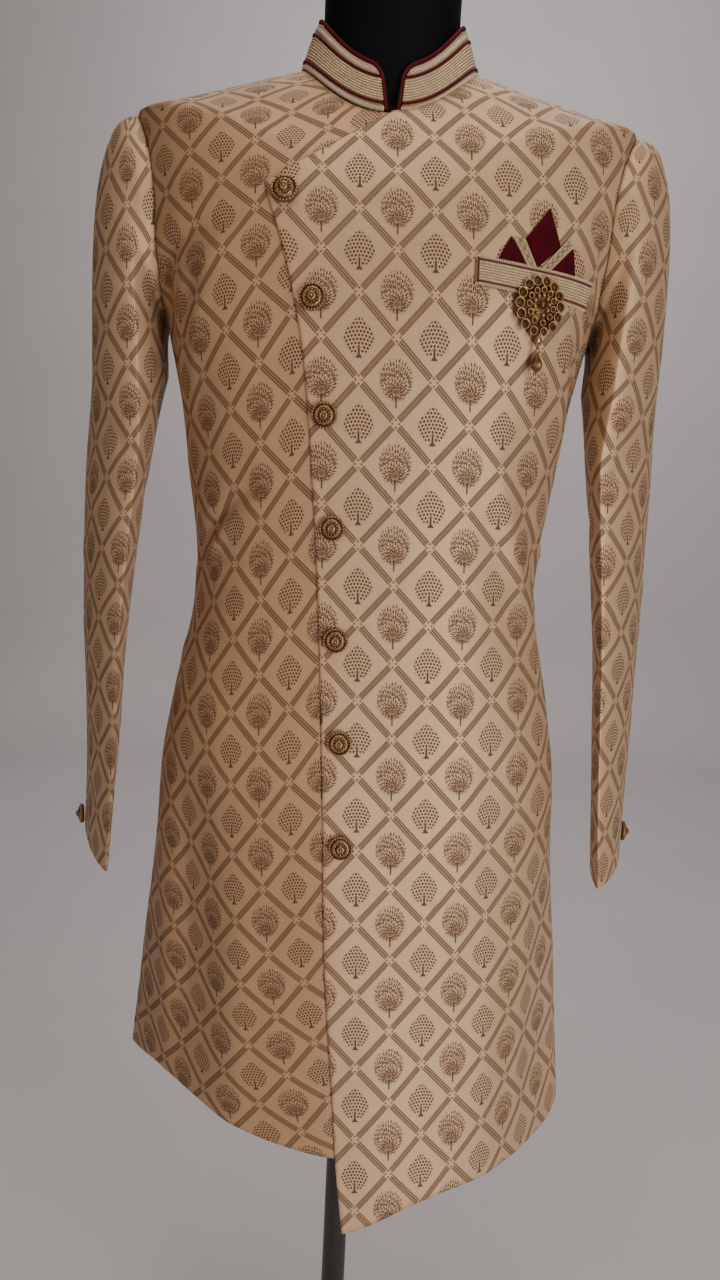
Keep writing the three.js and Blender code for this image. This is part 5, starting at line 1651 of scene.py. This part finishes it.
# %% Flat sizes and areas
def half_area(piece):
    """Half the area of a closed shell: the cloth that was cut."""
    return sum(face.area for face in piece.data.polygons) / 2


for piece, size in ((overlap, overlap_size), (underlap, underlap_size), (back, back_size),
                    (sleeve_left, sleeve_left_size), (sleeve_right, sleeve_right_size)):
    area = min(half_area(piece), size[0] * size[1])
    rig.sheet(piece, flat=size, held="hung", rests_on=["form_cover"], area=area)
    print(piece.name, "flat", [round(value, 3) for value in size], "area", round(area, 3))
for point in satin_points:
    side = math.sqrt(half_area(point) / 0.6)
    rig.sheet(point, flat=(side, side), area=half_area(point), held="folded",
             rests_on=["cloth_front_overlap"])
NARROWEST = 0.0101       # metres: the least width that a sheet may say
for band, (width, height) in ribbon_bands:
    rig.sheet(band, flat=(max(width * MM, NARROWEST), height * MM), held="laid",
             rests_on=["cloth_front_overlap"])

# %% [markdown]
# ## Floor, light and camera
# A plain pale floor rises far behind the part, so that a camera can go all the way round
# inside it. A large soft light stands above and to the right, a weak fill to the left, and
# one light washes the backdrop. The camera stands close, at chest height, and looks a
# little down.

# %% Floor
def stage_piece():
    rows = [(-4200, 0), (2700, 0), (2850, 8), (2980, 45), (3080, 110), (3150, 210), (3190, 340),
            (3200, 480), (3200, 5200)]
    points = [(x, y, z) for y, z in rows for x in (-5000, 5000)]
    faces = [(2 * at, 2 * at + 1, 2 * at + 3, 2 * at + 2) for at in range(len(rows) - 1)]
    return new_piece("floor", points, faces)


def floor_finish():
    floor = Finish("floor")
    place = floor.place()
    tone = floor.noise(place, 3.0, 3.0)
    return floor.surface(Base_Color=floor.blend(tone, (0.60, 0.60, 0.64), (0.67, 0.67, 0.71)),
                         Roughness=0.85)


floor = stage_piece()
floor.data.materials.append(floor_finish())
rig.stage(floor)


# %% Lights
def area_light(name, at, aim, size, power, colour):
    lamp = bpy.data.lights.new(name, "AREA")
    lamp.shape, lamp.size, lamp.size_y = "RECTANGLE", size[0], size[1]
    lamp.energy, lamp.color = power, colour
    light = link_piece(name, lamp)
    light.location = at
    light.rotation_euler = (Vector(aim) - Vector(at)).to_track_quat("-Z", "Y").to_euler()


area_light("key", (1.8, -2.2, 1.8), (0.0, 0.0, 0.95), (0.9, 0.9), 25, (1.0, 0.89, 0.79))
area_light("low", (1.1, -2.1, 0.5), (0.05, 0.0, 0.55), (0.8, 0.8), 24, (1.0, 0.95, 0.90))
area_light("ceiling", (0.1, -0.4, 2.9), (0.0, 0.0, 1.0), (1.6, 1.0), 17, (1.0, 0.90, 0.80))
area_light("fill", (-1.5, -2.2, 1.4), (0.0, 0.0, 1.0), (1.4, 1.6), 14, (1.0, 0.80, 0.66))
area_light("back_light", (0.0, 1.1, 3.1), (0.0, 0.4, 1.0), (1.6, 0.8), 8, (1.0, 0.96, 0.92))
area_light("backdrop_light", (0.3, 1.5, 3.2), (0.2, 3.2, 1.1), (2.4, 0.6), 28, (1.0, 0.92, 0.88))
world = bpy.data.worlds.new("studio")
world.use_nodes = True
background = world.node_tree.nodes["Background"]
background.inputs["Color"].default_value = (0.88, 0.68, 0.56, 1)
background.inputs["Strength"].default_value = 0.10
bpy.context.scene.world = world

# %% Camera
FOCAL, TALL = 961, 1280       # in points of the picture, whose long side is its height
camera = link_piece("camera", bpy.data.cameras.new("camera"))
camera.data.sensor_width = 36
camera.data.lens = 36 * FOCAL / TALL
camera.data.clip_start = 0.02
tilt, roll = math.radians(10.2), math.radians(2.7)
look = Matrix.Rotation(math.pi / 2 - tilt, 4, "X") @ Matrix.Rotation(roll, 4, "Z")
camera.matrix_world = Matrix.Translation((-0.003, -0.940, 1.160)) @ look
bpy.context.scene.camera = camera

# %% Size of the dressed part against the solids
dressed = [list(corner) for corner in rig.bounds()]
with open("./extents.json", "w") as written:
    json.dump([CAD_BOX, dressed], written)
print("solids", CAD_BOX)
print("dressed", dressed)
